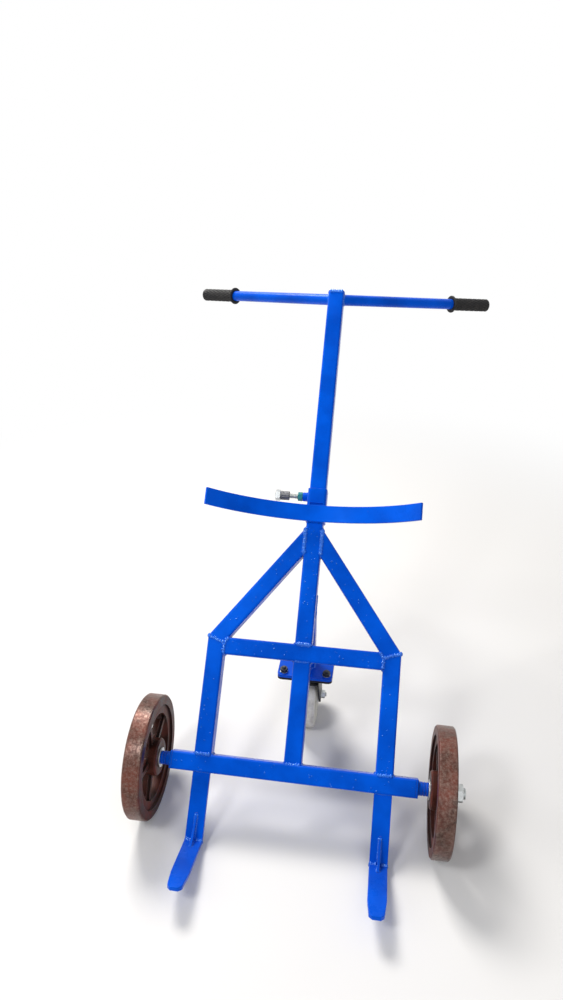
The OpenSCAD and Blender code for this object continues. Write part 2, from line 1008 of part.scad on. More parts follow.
module caster_fork() {
    lip_t = 3;
    color(black_paint)
        standing()
            translate([0, caster_y, 0])
                difference() {
                    union() {
                        translate([-fork_w / 2, -crown_l / 2, crown_bottom])
                            cube([fork_w, crown_l, fork_t]);
                        translate([0, 0, crown_top - 1])
                            cylinder(h = cup_t + 1, r = cup_r);
                        for (x = [-fork_w / 2, fork_gap / 2])
                            translate([x, 0, 0])
                                rotate([90, 0, 90])
                                    linear_extrude(fork_t)
                                        fork_leg_outline();
                        translate([0, 0, cup_top - 1])
                            difference() {
                                cylinder(h = ball_d / 2 + 1, r = cup_r);
                                cylinder(h = ball_d, r = cup_r - lip_t);
                            }
                    }
                    translate([0, 0, crown_bottom - 1])
                        cylinder(h = cut, r = kingpin_d / 2 + run_fit);
                    translate([0, caster_trail, caster_r])
                        rotate([0, 90, 0])
                            cylinder(h = 2 * fork_w, r = caster_bolt_d / 2 + bush_fit, center = true);
                }
}

// Places a piece built along +Z on the caster wheel's axle, running along +X from x
module caster_axle(x) {
    standing()
        translate([0, caster_y + caster_trail, caster_r])
            along_x(x)
                children();
}

module caster_axle_bolt() {
    tail = fork_w / 2 + caster_bolt_nut_t + 4;
    color(zinc)
        caster_axle(0) {
            translate([0, 0, -fork_w / 2 - caster_bolt_head_t])
                hex(caster_bolt_af, caster_bolt_head_t);
            translate([0, 0, -fork_w / 2 - 1])
                cylinder(h = fork_w / 2 + 1 + tail, d = caster_bolt_d);
        }
}

module caster_axle_nut() {
    color(zinc)
        caster_axle(fork_w / 2)
            hex_nut(caster_bolt_af, caster_bolt_nut_t, caster_bolt_d / 2 + bush_fit);
}

module caster_axle_sleeve() {
    color(zinc)
        caster_axle(-fork_gap / 2)
            washer(sleeve_d, fork_gap, caster_bolt_d / 2 + bush_fit);
}

// Moulded wheel: crowned tread, dished web and long hub
module caster_wheel() {
    hub_wall = 9;
    bush_wall = 4;
    tread_t = 24;
    web_t = 14;
    edge = 5;
    bore = sleeve_d / 2 + run_fit + bush_wall + bush_fit;
    hub = bore + hub_wall;
    half = caster_w / 2;
    color(nylon)
        caster_axle(0)
            rotate_extrude($fn = 96)
                polygon([[bore, -half - 3], [hub, -half - 3], [hub + 3, -web_t / 2],
                         [caster_r - tread_t - 3, -web_t / 2], [caster_r - tread_t, edge - half],
                         [caster_r - tread_t + edge, -half], [caster_r - edge, -half],
                         [caster_r - 1, edge - half], [caster_r, edge + 4 - half],
                         [caster_r, half - edge - 4], [caster_r - 1, half - edge],
                         [caster_r - edge, half], [caster_r - tread_t + edge, half],
                         [caster_r - tread_t, half - edge], [caster_r - tread_t - 3, web_t / 2],
                         [hub + 3, web_t / 2], [hub, half + 3], [bore, half + 3]]);
}

module caster_wheel_bush() {
    bush_wall = 4;
    len = caster_w + 6;
    color(bronze)
        caster_axle(-len / 2)
            difference() {
                cylinder(h = len, r = sleeve_d / 2 + run_fit + bush_wall);
                translate([0, 0, -1])
                    cylinder(h = len + 2, r = sleeve_d / 2 + run_fit);
            }
}

mast();
mast_cap();
left_side() handle_arm();  // handle_arm_left
right_side() handle_arm();  // handle_arm_right
left_side() grip();  // grip_left
right_side() grip();  // grip_right
left_side() brace();  // brace_left
right_side() brace();  // brace_right
left_side() side_post();  // side_post_left
right_side() side_post();  // side_post_right
upper_crossbar();
lower_center_post();
axle_bar();
axle_end_plates();
left_side() axle_stub();  // axle_stub_left
right_side() axle_stub();  // axle_stub_right
left_side() toe_shank();  // toe_shank_left
right_side() toe_shank();  // toe_shank_right
left_side() toe_plate();  // toe_plate_left
right_side() toe_plate();  // toe_plate_right
left_side() toe_gusset();  // toe_gusset_left
right_side() toe_gusset();  // toe_gusset_right
left_side() toe_stay();  // toe_stay_left
right_side() toe_stay();  // toe_stay_right
inner_washers();
outer_washers();
axle_nuts();
left_side() wheel();  // wheel_left
right_side() wheel();  // wheel_right
left_side() hub_bush();  // hub_bush_left
right_side() hub_bush();  // hub_bush_right
saddle_collar();
saddle_block();
saddle_bar();
clamp_boss();
clamp_screw();
clamp_lock_nut();
clamp_knob();
clamp_knob_nut();
caster_arm();
caster_arm_stay();
caster_mount_plate();
caster_bolts();
caster_nuts();
caster_bolt_washers();
caster_top_plate();
caster_kingpin();
caster_swivel_balls();
caster_fork();
caster_axle_bolt();
caster_axle_nut();
caster_axle_sleeve();
caster_wheel();
caster_wheel_bush();
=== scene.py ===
import json
import logging
import random
from collections.abc import Callable, Iterator
from contextlib import contextmanager
from dataclasses import dataclass, field, replace
from enum import Enum
from functools import partial
from math import atan2, cos, hypot, radians, sin, sqrt, tan, tau

import bpy
from bpy.types import Material, Node, NodeSocket, NodeTree, Object
from mathutils import Matrix, Vector


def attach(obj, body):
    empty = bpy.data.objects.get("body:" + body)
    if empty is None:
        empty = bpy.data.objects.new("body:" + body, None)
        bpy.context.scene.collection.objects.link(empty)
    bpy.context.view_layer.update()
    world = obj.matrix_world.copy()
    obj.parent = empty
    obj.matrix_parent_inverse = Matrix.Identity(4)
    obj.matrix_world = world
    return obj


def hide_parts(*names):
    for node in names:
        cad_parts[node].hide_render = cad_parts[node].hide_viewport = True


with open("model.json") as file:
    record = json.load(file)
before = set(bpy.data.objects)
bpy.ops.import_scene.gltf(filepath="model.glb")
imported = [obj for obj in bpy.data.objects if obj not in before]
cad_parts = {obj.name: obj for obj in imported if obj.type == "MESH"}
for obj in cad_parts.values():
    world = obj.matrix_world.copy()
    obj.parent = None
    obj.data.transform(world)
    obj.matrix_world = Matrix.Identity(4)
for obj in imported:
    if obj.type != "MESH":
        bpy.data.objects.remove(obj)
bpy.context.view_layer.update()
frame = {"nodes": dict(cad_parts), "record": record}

LOG = logging.getLogger("drum_trolley")
MM = 0.001
LEAN = 42.0  # degrees that the frame leans back at rest
WHITE = (1.0, 1.0, 1.0, 1.0)
DOUBLED = 0.004  # millimetres within which two points are one
TUBE_HALF = 20.0  # millimetres, as are the next three
POST_X = 206.0
BAR_END = 281.0
SHOULDER_R = 15.0
THREAD_DEPTH = 0.6  # share of the pitch
CORE_LAP = 0.05  # millimetres that a core reaches into its thread
SMOOTH_TURNED = 25.0  # degrees, as are the next two
SMOOTH_BEAD = 75.0
FLAT = 0.5
Point = tuple[float, float, float]
Steps = list[tuple[float, float]]
Bead = tuple[float, ...]
Inputs = dict[str | int, object] | list[object]
Adder = Callable[..., Node]


def linear(hex_colour: str) -> tuple[float, float, float, float]:
    """Turns an sRGB hex value into a linear colour.

    Args:
        hex_colour: Six digits after a hash sign.

    Returns:
        Linear red, green and blue, with full alpha.
    """
    parts = [int(hex_colour[i:i + 2], 16) / 255 for i in (1, 3, 5)]
    red, green, blue = (c / 12.92 if c <= 0.04045 else ((c + 0.055) / 1.055) ** 2.4 for c in parts)
    return red, green, blue, 1.0


def per_size(millimetres: float) -> float:
    """Gives the texture scale whose pattern repeats at a real size in millimetres."""
    return 1 / (millimetres * MM)


def fill(tree: NodeTree, made: Node, inputs: Inputs) -> None:
    """Sets or links a node's inputs.

    Args:
        tree: Tree that holds the node.
        made: The node.
        inputs: Values, outputs or nodes by input or in order; a node gives its first output in use.
    """
    for key, value in inputs.items() if isinstance(inputs, dict) else enumerate(inputs):
        if isinstance(value, Node):
            value = next(output for output in value.outputs if output.enabled)
        if isinstance(value, NodeSocket):
            tree.links.new(value, made.inputs[key])
        else:
            made.inputs[key].default_value = value


def add_node(tree: NodeTree, kind: str, inputs: Inputs | None = None, **settings: object) -> Node:
    """Adds a shader node with its settings and links.

    Args:
        tree: Tree that takes it.
        kind: Its type, without Blender's prefix.
        inputs: What goes into its inputs.
        **settings: Its properties.

    Returns:
        The new node.
    """
    made = tree.nodes.new("ShaderNode" + kind)
    for key, value in settings.items():
        setattr(made, key, value)
    fill(tree, made, inputs or {})
    return made


def knocked_edges(add: Adder, reach: float, flakes: Node, low: float, high: float,
                  most: float = 1.0) -> tuple[Node, Node]:
    """Finds the edges where a finish is knocked off in flakes.

    Args:
        add: Adds a node.
        reach: Width of an edge, in millimetres.
        flakes: Noise that breaks it up.
        low: Sharpness times noise where the loss begins.
        high: The same where it is full.
        most: Share lost there.

    Returns:
        The normal rounded over edges, and the share lost.
    """
    rounded = add("Bevel", {"Radius": reach * MM}, samples=4)
    facing = add("NewGeometry").outputs["Normal"]
    along = add("VectorMath", [rounded, facing], operation="DOT_PRODUCT")
    edge = add("Math", [1.0, along], operation="SUBTRACT")
    knocked = add("Math", [edge, flakes], operation="MULTIPLY")
    lost = add("MapRange", [knocked, low, high, 0.0, most])
    return rounded, lost


def from_axle(add: Adder, at: NodeSocket, axle: Point) -> Node:
    """Gives each point's distance from an axle that runs from side to side.

    Args:
        add: Adds a node.
        at: Object coordinates.
        axle: A point of it, in metres.

    Returns:
        The distance in metres.
    """
    centred = add("VectorMath", [at, axle], operation="SUBTRACT")
    across = add("VectorMath", [centred, (0.0, 1.0, 1.0)], operation="MULTIPLY")
    return add("VectorMath", [across], operation="LENGTH")


def seen(add: Adder) -> Node:
    """Gives 1 where a ray comes from the eye, straight, mirrored or through glass.

    Args:
        add: Adds a node.

    Returns:
        The last node.
    """
    path = add("LightPath").outputs
    mirrored = add("Math", [path["Is Camera Ray"], path["Is Glossy Ray"]], operation="MAXIMUM")
    return add("Math", [mirrored, path["Is Transmission Ray"]], operation="MAXIMUM")


@dataclass(frozen=True)
class Coat:
    """A finish in use: its material and the record's slot for it."""

    slot: str
    material: Material


class Finish:
    """Base of all finishes: makes a material from what draw() gives for its shader."""

    name: str

    def build(self) -> Material:
        """Makes the material.

        Returns:
            The material, with its nodes linked to the shader.
        """
        material = bpy.data.materials.new(self.name)
        material.use_nodes = True
        tree = material.node_tree
        add = partial(add_node, tree)
        fill(tree, tree.nodes["Principled BSDF"], self.draw(add, add("TexCoord")))
        return material

    def coat(self, slot: str) -> Coat:
        """Makes the material for a slot of the record."""
        return Coat(slot, self.build())

    def draw(self, add: Adder, place: Node) -> Inputs:
        """Adds the finish's nodes.

        Args:
            add: Adds a node.
            place: Texture coordinates.

        Returns:
            The shader's inputs.
        """
        raise NotImplementedError


@dataclass(frozen=True)
class Enamel(Finish):
    """Alkyd enamel brushed over welded steel.

    It gives the eye a deep wet gloss with a faint orange peel, weld spatter under the film,
    thin dust on what faces up, and primer at chipped edges.
    """

    name: str
    colour: str
    deep: str
    primer: str = "#6b4a3c"
    dust: str = "#b7b2a6"
    roughness: float = 0.28
    gloss: float = 0.16
    dusting: float = 0.02
    chip_level: float = 0.1
    tint: str = "#ffffff"
    peel_mm: float = 2.6
    tone_mm: float = 90.0
    film_mm: float = 34.0
    chip_mm: float = 9.0
    edge_mm: float = 1.8
    spatter_mm: float = 26.0

    def draw(self, add: Adder, place: Node) -> Inputs:
        """Adds colour drift, dust, edge chips, orange peel and spatter.

        Args:
            add: Adds a node.
            place: Texture coordinates.

        Returns:
            The shader's inputs.
        """
        at = place.outputs["Object"]
        drift = add("TexNoise", {"Vector": at, "Scale": per_size(self.tone_mm), "Detail": 3.0})
        tone = add("MapRange", [drift, 0.36, 0.66, 0.0, 0.9])
        paint = add("Mix", {0: tone, 6: linear(self.colour), 7: linear(self.deep)}, data_type="RGBA")

        facing = add("SeparateXYZ", [place.outputs["Normal"]])
        film = add("TexNoise", {"Vector": at, "Scale": per_size(self.film_mm), "Detail": 5.0, "Roughness": 0.62})
        lying = add("MapRange", [facing.outputs["Z"], 0.7, 1.0, 0.0, self.dusting])
        dusty = add("Math", [lying, film], operation="MULTIPLY")
        dusted = add("Mix", {0: dusty, 6: paint, 7: linear(self.dust)}, data_type="RGBA")

        flake = add("TexNoise", {"Vector": at, "Scale": per_size(self.chip_mm), "Detail": 4.0, "Roughness": 0.7})
        rounded, chip = knocked_edges(add, self.edge_mm, flake, self.chip_level, self.chip_level + 0.02)
        worn = add("Mix", {0: chip, 6: dusted, 7: linear(self.primer)}, data_type="RGBA")
        smear = add("MapRange", [film, 0.3, 0.7, self.roughness - 0.06, self.roughness + 0.1])
        dry = add("Math", [chip, 0.3, smear], operation="MULTIPLY_ADD")

        peel = add("TexNoise", {"Vector": at, "Scale": per_size(self.peel_mm), "Detail": 2.0})
        cells = add("TexVoronoi", {"Vector": at, "Scale": per_size(self.spatter_mm)})
        droplet = add("MapRange", [cells, 0.035, 0.075, 1.0, 0.0], interpolation_type="SMOOTHSTEP")
        few = add("SeparateColor", [cells.outputs["Color"]])
        kept = add("MapRange", [few, 0.72, 0.73])
        beads = add("Math", [droplet, kept], operation="MULTIPLY")
        flow = add("Bump", {"Strength": 0.12, "Distance": 0.25 * MM, "Height": peel, "Normal": rounded})
        skin = add("Bump", {"Strength": 0.8, "Distance": 0.9 * MM, "Height": beads, "Normal": flow})
        return {"Base Color": worn, "Roughness": dry, "Normal": skin, "Specular IOR Level": self.gloss,
                "Specular Tint": linear(self.tint)}


@dataclass(frozen=True)
class OxidePaint(Finish):
    """Red-oxide paint on sand-cast iron.

    It gives the eye a dull brown red with a grainy casting skin, painted shade that darkens its recesses by ambient
    occlusion, and a tread rubbed to speckled iron that shines.
    """

    name: str
    colour: str
    dark: str
    iron: str
    grit: str
    # Near-black colour of the painted shade that darkens the casting's recesses.
    painted_shade: str
    axle: Point
    tread_mm: float = 138.4
    tread_edge_mm: float = 1.2
    # Reach of the ambient occlusion that places the painted shade.
    shade_reach_mm: float = 70.0
    patch_mm: float = 45.0
    grain_mm: float = 1.8
    speckle_mm: float = 7.0
    edge_mm: float = 2.4
    tread_polish: float = -0.08

    def draw(self, add: Adder, place: Node) -> Inputs:
        """Adds the paint, the rubbed tread, edge wear, painted shade in the recesses and the casting skin.

        Args:
            add: Adds a node.
            place: Texture coordinates.

        Returns:
            The shader's inputs.
        """
        at = place.outputs["Object"]
        tread = add("MapRange", [from_axle(add, at, self.axle), (self.tread_mm - self.tread_edge_mm) * MM,
                                 self.tread_mm * MM])
        patch = add("TexNoise", {"Vector": at, "Scale": per_size(self.patch_mm), "Detail": 6.0, "Roughness": 0.6})
        stain = add("MapRange", [patch, 0.36, 0.64])
        paint = add("Mix", {0: stain, 6: linear(self.dark), 7: linear(self.colour)}, data_type="RGBA")

        speckle = add("TexNoise", {"Vector": at, "Scale": per_size(self.speckle_mm), "Detail": 8.0,
                                   "Roughness": 0.84})
        bare = add("MapRange", [speckle, 0.44, 0.66, 0.1, 0.7])
        rubbed = add("Math", [bare, tread], operation="MULTIPLY")
        scraped = add("Mix", {0: rubbed, 6: paint, 7: linear(self.iron)}, data_type="RGBA")
        pale = add("MapRange", [speckle, 0.4, 0.24, 0.0, 0.5])
        ground = add("Math", [pale, tread], operation="MULTIPLY")
        gritty = add("Mix", {0: ground, 6: scraped, 7: linear(self.grit)}, data_type="RGBA")

        rounded, chip = knocked_edges(add, self.edge_mm, speckle, 0.05, 0.1, 0.8)
        worn = add("Mix", {0: chip, 6: gritty, 7: linear(self.iron)}, data_type="RGBA")
        # Painted shade: ambient occlusion darkens the recesses towards a near-black colour in place of the shade that
        # falls there; soiled holds the paint with this shade.
        occlusion_shade = add("AmbientOcclusion", {"Distance": self.shade_reach_mm * MM}, samples=8)
        shade_share = add("MapRange", [occlusion_shade.outputs["AO"], 0.95, 0.4, 0.0, 0.9])
        soiled = add("Mix", {0: shade_share, 6: worn, 7: linear(self.painted_shade)}, data_type="RGBA")

        gloss = add("MapRange", [patch, 0.3, 0.7, 0.3, 0.55])
        shine = add("Math", [tread, self.tread_polish, gloss], operation="MULTIPLY_ADD")
        sand = add("TexNoise", {"Vector": at, "Scale": per_size(self.grain_mm), "Detail": 4.0})
        skin = add("Bump", {"Strength": 0.22, "Distance": 0.4 * MM, "Height": sand, "Normal": rounded})
        return {"Base Color": soiled, "Metallic": rubbed, "Roughness": shine, "Normal": skin,
                "Specular IOR Level": 0.16}


@dataclass(frozen=True)
class Metal(Finish):
    """Bare or plated metal, turned or rolled.

    It gives the eye a soft mirror broken by fine tool marks and a patchy film of oxide.
    """

    name: str
    colour: str
    film: str
    roughness: float = 0.32
    film_share: float = 0.4
    mark_mm: float = 0.9
    patch_mm: float = 14.0

    def draw(self, add: Adder, place: Node) -> Inputs:
        """Adds the oxide film, its roughness and the tool marks.

        Args:
            add: Adds a node.
            place: Texture coordinates.

        Returns:
            The shader's inputs.
        """
        at = place.outputs["Object"]
        patch = add("TexNoise", {"Vector": at, "Scale": per_size(self.patch_mm), "Detail": 5.0})
        share = add("MapRange", [patch, 0.4, 0.68, 0.0, self.film_share])
        tint = add("Mix", {0: share, 6: linear(self.colour), 7: linear(self.film)}, data_type="RGBA")
        haze = add("MapRange", [patch, 0.3, 0.7, self.roughness - 0.07, self.roughness + 0.13])
        marks = add("TexNoise", {"Vector": at, "Scale": per_size(self.mark_mm), "Detail": 2.0})
        skin = add("Bump", {"Strength": 0.12, "Distance": 0.1 * MM, "Height": marks})
        return {"Base Color": tint, "Roughness": haze, "Normal": skin, "Metallic": 1.0}


@dataclass(frozen=True)
class Rubber(Finish):
    """Moulded black rubber.

    It gives the eye a soft matt black with a fine pebble and grey dust where hands don't rub.
    """

    name: str
    colour: str
    dust: str
    roughness: float = 0.56
    spread: float = 0.14
    patch_mm: float = 16.0
    pebble_mm: float = 1.1

    def draw(self, add: Adder, place: Node) -> Inputs:
        """Adds dust patches, their roughness and the pebble.

        Args:
            add: Adds a node.
            place: Texture coordinates.

        Returns:
            The shader's inputs.
        """
        at = place.outputs["Object"]
        patch = add("TexNoise", {"Vector": at, "Scale": per_size(self.patch_mm), "Detail": 5.0})
        grey = add("MapRange", [patch, 0.45, 0.75, 0.0, 0.3])
        tint = add("Mix", {0: grey, 6: linear(self.colour), 7: linear(self.dust)}, data_type="RGBA")
        rub = add("MapRange", [patch, 0.0, 1.0, self.roughness - self.spread, self.roughness + self.spread])
        pebble = add("TexNoise", {"Vector": at, "Scale": per_size(self.pebble_mm), "Detail": 2.0})
        skin = add("Bump", {"Strength": 0.25, "Distance": 0.2 * MM, "Height": pebble})
        return {"Base Color": tint, "Roughness": rub, "Normal": skin, "Specular IOR Level": 0.3}


@dataclass(frozen=True)
class Nylon(Finish):
    """Cast nylon of a caster wheel.

    It gives the eye a milky off-white with a slight sheen, and a tread greyed by the floor.
    """

    name: str
    colour: str
    soil: str
    axle: Point
    tread_mm: float = 86.0
    tread_edge_mm: float = 6.0
    scuff_mm: float = 24.0

    def draw(self, add: Adder, place: Node) -> Inputs:
        """Adds floor soil on the tread, scuffs and a faint moulding bump.

        Args:
            add: Adds a node.
            place: Texture coordinates.

        Returns:
            The shader's inputs.
        """
        at = place.outputs["Object"]
        tread = add("MapRange", [from_axle(add, at, self.axle), (self.tread_mm - self.tread_edge_mm) * MM,
                                 self.tread_mm * MM, 0.12, 0.55])
        scuff = add("TexNoise", {"Vector": at, "Scale": per_size(self.scuff_mm), "Detail": 6.0, "Roughness": 0.7})
        mark = add("MapRange", [scuff, 0.38, 0.66])
        soiled = add("Math", [tread, mark], operation="MULTIPLY")
        tint = add("Mix", {0: soiled, 6: linear(self.colour), 7: linear(self.soil)}, data_type="RGBA")
        dull = add("MapRange", [soiled, 0.0, 1.0, 0.38, 0.75])
        skin = add("Bump", {"Strength": 0.15, "Distance": 0.2 * MM, "Height": scuff})
        return {"Base Color": tint, "Roughness": dull, "Normal": skin, "IOR": 1.53}


@dataclass(frozen=True)
class StudioFloor(Finish):
    """Plain pale floor paper, matt and even.

    It keeps the shadow round the object and fades to white towards the backdrop.
    """

    name: str
    colour: str
    near: float = 0.9
    far: float = 2.3

    def draw(self, add: Adder, place: Node) -> Inputs:
        """Sets one pale colour that the eye sees fade to white with distance.

        Args:
            add: Adds a node.
            place: Texture coordinates.

        Returns:
            The shader's inputs.
        """
        reach = add("VectorMath", [place.outputs["Object"]], operation="LENGTH")
        fade = add("MapRange", [reach, self.near, self.far], interpolation_type="SMOOTHSTEP")
        share = add("Math", [fade, seen(add)], operation="MULTIPLY")
        nodes = place.id_data.nodes
        white = add("Emission", {"Color": WHITE, "Strength": 1.0})
        blend = add("MixShader", [share, nodes["Principled BSDF"], white])
        fill(place.id_data, nodes["Material Output"], {"Surface": blend})
        return {"Base Color": linear(self.colour), "Roughness": 0.95, "Specular IOR Level": 0.1}


@dataclass(frozen=True)
class Stance:
    """How the upright frame stands at rest: its lean and the place of its axle."""

    lean: float
    axle: Vector

    def at(self, point: Point) -> Vector:
        """Gives the row-frame place of a point of the upright frame.

        Args:
            point: Right, rear and up from the axle's middle, in millimetres.

        Returns:
            The place in metres.
        """
        return self.turn(point) * MM + self.axle

    def turn(self, way: Point) -> Vector:
        """Gives a direction of the upright frame as it lies at rest.

        Args:
            way: Right, rear and up.

        Returns:
            The direction in the row frame.
        """
        x, y, z = way
        cosine, sine = cos(self.lean), sin(self.lean)
        return Vector((x, y * cosine + z * sine, z * cosine - y * sine))


class Body(Enum):
    """The rigid bodies that pieces ride on."""

    FRAME = "frame"
    LEFT_WHEEL = "wheel_left"
    RIGHT_WHEEL = "wheel_right"
    SADDLE = "saddle"
    CLAMP = "clamp_screw"
    FORK = "caster_fork"
    CASTER_WHEEL = "caster_wheel"


def joint_place(name: str) -> Vector:
    """Gives a joint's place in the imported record.

    Args:
        name: Its name.

    Returns:
        The place in metres.
    """
    joints = frame["record"]["behaviour"]["joints"]
    return Vector(next(joint["pos_m"] for joint in joints if joint["name"] == name))


def pick_only(piece: Object) -> None:
    """Leaves one object selected and active.

    Args:
        piece: The object.
    """
    bpy.ops.object.select_all(action="DESELECT")
    piece.select_set(True)
    bpy.context.view_layer.objects.active = piece


@contextmanager
def editing(piece: Object, test: Callable[[Vector], bool] | None = None) -> Iterator[None]:
    """Holds a mesh in edit mode with all of it selected, or the points that pass a test.

    Args:
        piece: Mesh in object mode.
        test: Says whether a point, in metres, is selected.

    Returns:
        The context, which ends in object mode.
    """
    pick_only(piece)
    if test:
        for part in (*piece.data.polygons, *piece.data.edges):
            part.select = False
        for point in piece.data.vertices:
            point.select = test(point.co)
    bpy.ops.object.mode_set(mode="EDIT")
    if not test:
        bpy.ops.mesh.select_all(action="SELECT")
    yield
    bpy.ops.object.mode_set(mode="OBJECT")


def applied(piece: Object, name: str, kind: str, **settings: object) -> Object:
    """Adds a modifier, sets it and applies it.

    Args:
        piece: Mesh object.
        name: Name of the modifier.
        kind: Its type.
        **settings: Its properties.

    Returns:
        The same object.
    """
    change = piece.modifiers.new(name, kind)
    for key, value in settings.items():
        setattr(change, key, value)
    pick_only(piece)
    bpy.ops.object.modifier_apply(modifier=change.name)
    return piece


def copied(model: Object, place: Matrix) -> Object:
    """Puts a copy with its own mesh into the scene.

    Args:
        model: Mesh object.
        place: Where the copy goes.

    Returns:
        The copy.
    """
    copy = bpy.data.objects.new(model.name, model.data.copy())
    copy.matrix_world = place
    bpy.context.collection.objects.link(copy)
    return copy


def joined(pieces: list[Object]) -> Object:
    """Joins meshes into the first one.

    Args:
        pieces: Mesh objects.

    Returns:
        The first, which now holds them all.
    """
    bpy.ops.object.select_all(action="DESELECT")
    for piece in pieces:
        piece.select_set(True)
    bpy.context.view_layer.objects.active = pieces[0]
    bpy.ops.object.join()
    return pieces[0]


def cleaned(piece: Object, reach: float = DOUBLED) -> Object:
    """Merges doubled points, drops faces without area and turns the rest outwards.

    Args:
        piece: Closed mesh.
        reach: Millimetres that count as doubled.

    Returns:
        The same object.
    """
    with editing(piece):
        bpy.ops.mesh.remove_doubles(threshold=reach * MM)
        bpy.ops.mesh.dissolve_degenerate(threshold=reach * MM)
        bpy.ops.mesh.normals_make_consistent(inside=False)
    return piece


def turned(steps: Steps, sides: int) -> Object:
    """Turns a piece on Z from a disc that is extruded and resized from step to step.

    Args:
        steps: Radius and height of each ring, in millimetres.
        sides: Points on a ring.

    Returns:
        The closed piece.
    """
    bpy.ops.object.select_all(action="DESELECT")
    radius, height = steps[0]
    bpy.ops.mesh.primitive_circle_add(vertices=sides, radius=radius * MM, fill_type="NGON",
                                      location=(0, 0, height * MM))
    piece = bpy.context.active_object
    bpy.ops.object.transform_apply(location=True, rotation=True, scale=True)
    with editing(piece):
        for next_r, next_h in steps[1:]:
            rise = (0, 0, (next_h - height) * MM)
            bpy.ops.mesh.extrude_region_move(TRANSFORM_OT_translate={"value": rise})
            bpy.ops.transform.resize(value=(next_r / radius, next_r / radius, 1))
            radius, height = next_r, next_h
        bpy.ops.mesh.select_all(action="SELECT")
        bpy.ops.mesh.normals_make_consistent(inside=False)
    return piece


def core_r(radius: float, pitch: float) -> float:
    """Gives the radius of the core that carries a thread, in millimetres."""
    return radius - THREAD_DEPTH * pitch + CORE_LAP


def threaded(radius: float, pitch: float, start: float, end: float, sides: int = 28) -> Object:
    """Winds a screw thread on Z from the profile of one pitch.

    Args:
        radius: Radius over the crests, in millimetres.
        pitch: Rise of one turn.
        start: Height where it begins.
        end: Height that it doesn't pass.
        sides: Points on a turn.

    Returns:
        The thread, closed at both ends.
    """
    root = radius - THREAD_DEPTH * pitch
    profile = [(root, pitch / 8), (radius, pitch * 7 / 16), (radius, pitch * 9 / 16), (root, pitch)]
    bpy.ops.object.select_all(action="DESELECT")
    bpy.ops.mesh.primitive_plane_add(size=1 * MM, location=(0, 0, 0))
    piece = bpy.context.active_object
    with editing(piece):
        bpy.ops.mesh.merge(type="CENTER")
        bpy.ops.transform.translate(value=(root * MM, 0, start * MM))
        place = (root, 0.0)
        for point in profile:
            way = ((point[0] - place[0]) * MM, 0, (point[1] - place[1]) * MM)
            bpy.ops.mesh.extrude_region_move(TRANSFORM_OT_translate={"value": way})
            place = point
    rounds = max(1, int((end - start) / pitch) - 1)
    applied(piece, "winding", "SCREW", screw_offset=pitch * MM, iterations=rounds, steps=sides, render_steps=sides)
    with editing(piece):
        bpy.ops.mesh.remove_doubles(threshold=0.01 * MM)
        bpy.ops.mesh.fill_holes(sides=0)
    return cleaned(piece)


def hexed(flats: float, low: float, thick: float) -> Object:
    """Makes a hexagon on Z whose corners are turned off at both ends, as on a nut.

    Args:
        flats: Size across the flats, in millimetres.
        low: Height of its lower face.
        thick: Its thickness.

    Returns:
        The hexagon.
    """
    high, corner, rim = low + thick, flats / sqrt(3), flats / 2 - 0.3
    drop = (corner - rim) * tan(radians(30))
    lead = drop + 0.4
    piece = turned([(corner, low), (corner, high)], 6)
    cone = turned([(rim, low), (corner, low + drop), (corner + 1, low + lead), (corner + 1, high - lead),
                   (corner, high - drop), (rim, high)], 60)
    applied(piece, "turned_corners", "BOOLEAN", operation="INTERSECT", object=cone)
    bpy.data.objects.remove(cone)
    return cleaned(piece, 0.02)


def bolted(flats: float, head: float, radius: float, length: float, wound: float, pitch: float) -> list[Object]:
    """Makes a bolt on Z, with the underside of its head at height 0, in millimetres.

    Args:
        flats: Head across the flats.
        head: Thickness of the head.
        radius: Radius over the thread.
        length: Length of the shank.
        wound: Height where the thread begins.
        pitch: Rise of one turn.

    Returns:
        Head, shank and thread.
    """
    root, plain = core_r(radius, pitch), radius - CORE_LAP
    shank = turned([(plain, -1), (plain, wound), (root, wound + 0.4), (root, length - 0.8), (root - 0.8, length)], 28)
    return [hexed(flats, -head, head), shank, threaded(radius, pitch, wound, length)]


def laid(pieces: list[Object], spot: Vector, turn: float = 0.0) -> Object:
    """Joins pieces made on Z and lays them at a spot.

    Args:
        pieces: Meshes to join.
        spot: Where their origin goes, in metres.
        turn: Degrees that Z is turned to the right.

    Returns:
        The joined piece.
    """
    piece = joined(pieces)
    piece.matrix_world = Matrix.Translation(spot) @ Matrix.Rotation(radians(turn), 4, "Y")
    pick_only(piece)
    bpy.ops.object.transform_apply(location=True, rotation=True, scale=True)
    return piece


def settle(piece: Object, name: str, coat: Coat, smooth: float = 40.0, stands_for: str = "",
           body: Body = Body.FRAME) -> Object:
    """Puts a piece's place into its mesh, dresses it and lets it ride on a body.

    Args:
        piece: Finished mesh.
        name: Its name.
        coat: Its finish.
        smooth: Degrees up to which edges are shaded smooth.
        stands_for: CAD piece that it replaces.
        body: Body that carries it.

    Returns:
        The same object.
    """
    pick_only(piece)
    bpy.ops.object.transform_apply(location=True, rotation=True, scale=True)
    bpy.ops.object.shade_smooth_by_angle(angle=radians(smooth))
    piece.name = name
    piece.data.materials.clear()
    piece.data.materials.append(coat.material)
    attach(piece, body.value)
    if stands_for:
        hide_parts(stands_for)
    LOG.info("%s: %d faces on %s", name, len(piece.data.polygons), body.value)
    return piece


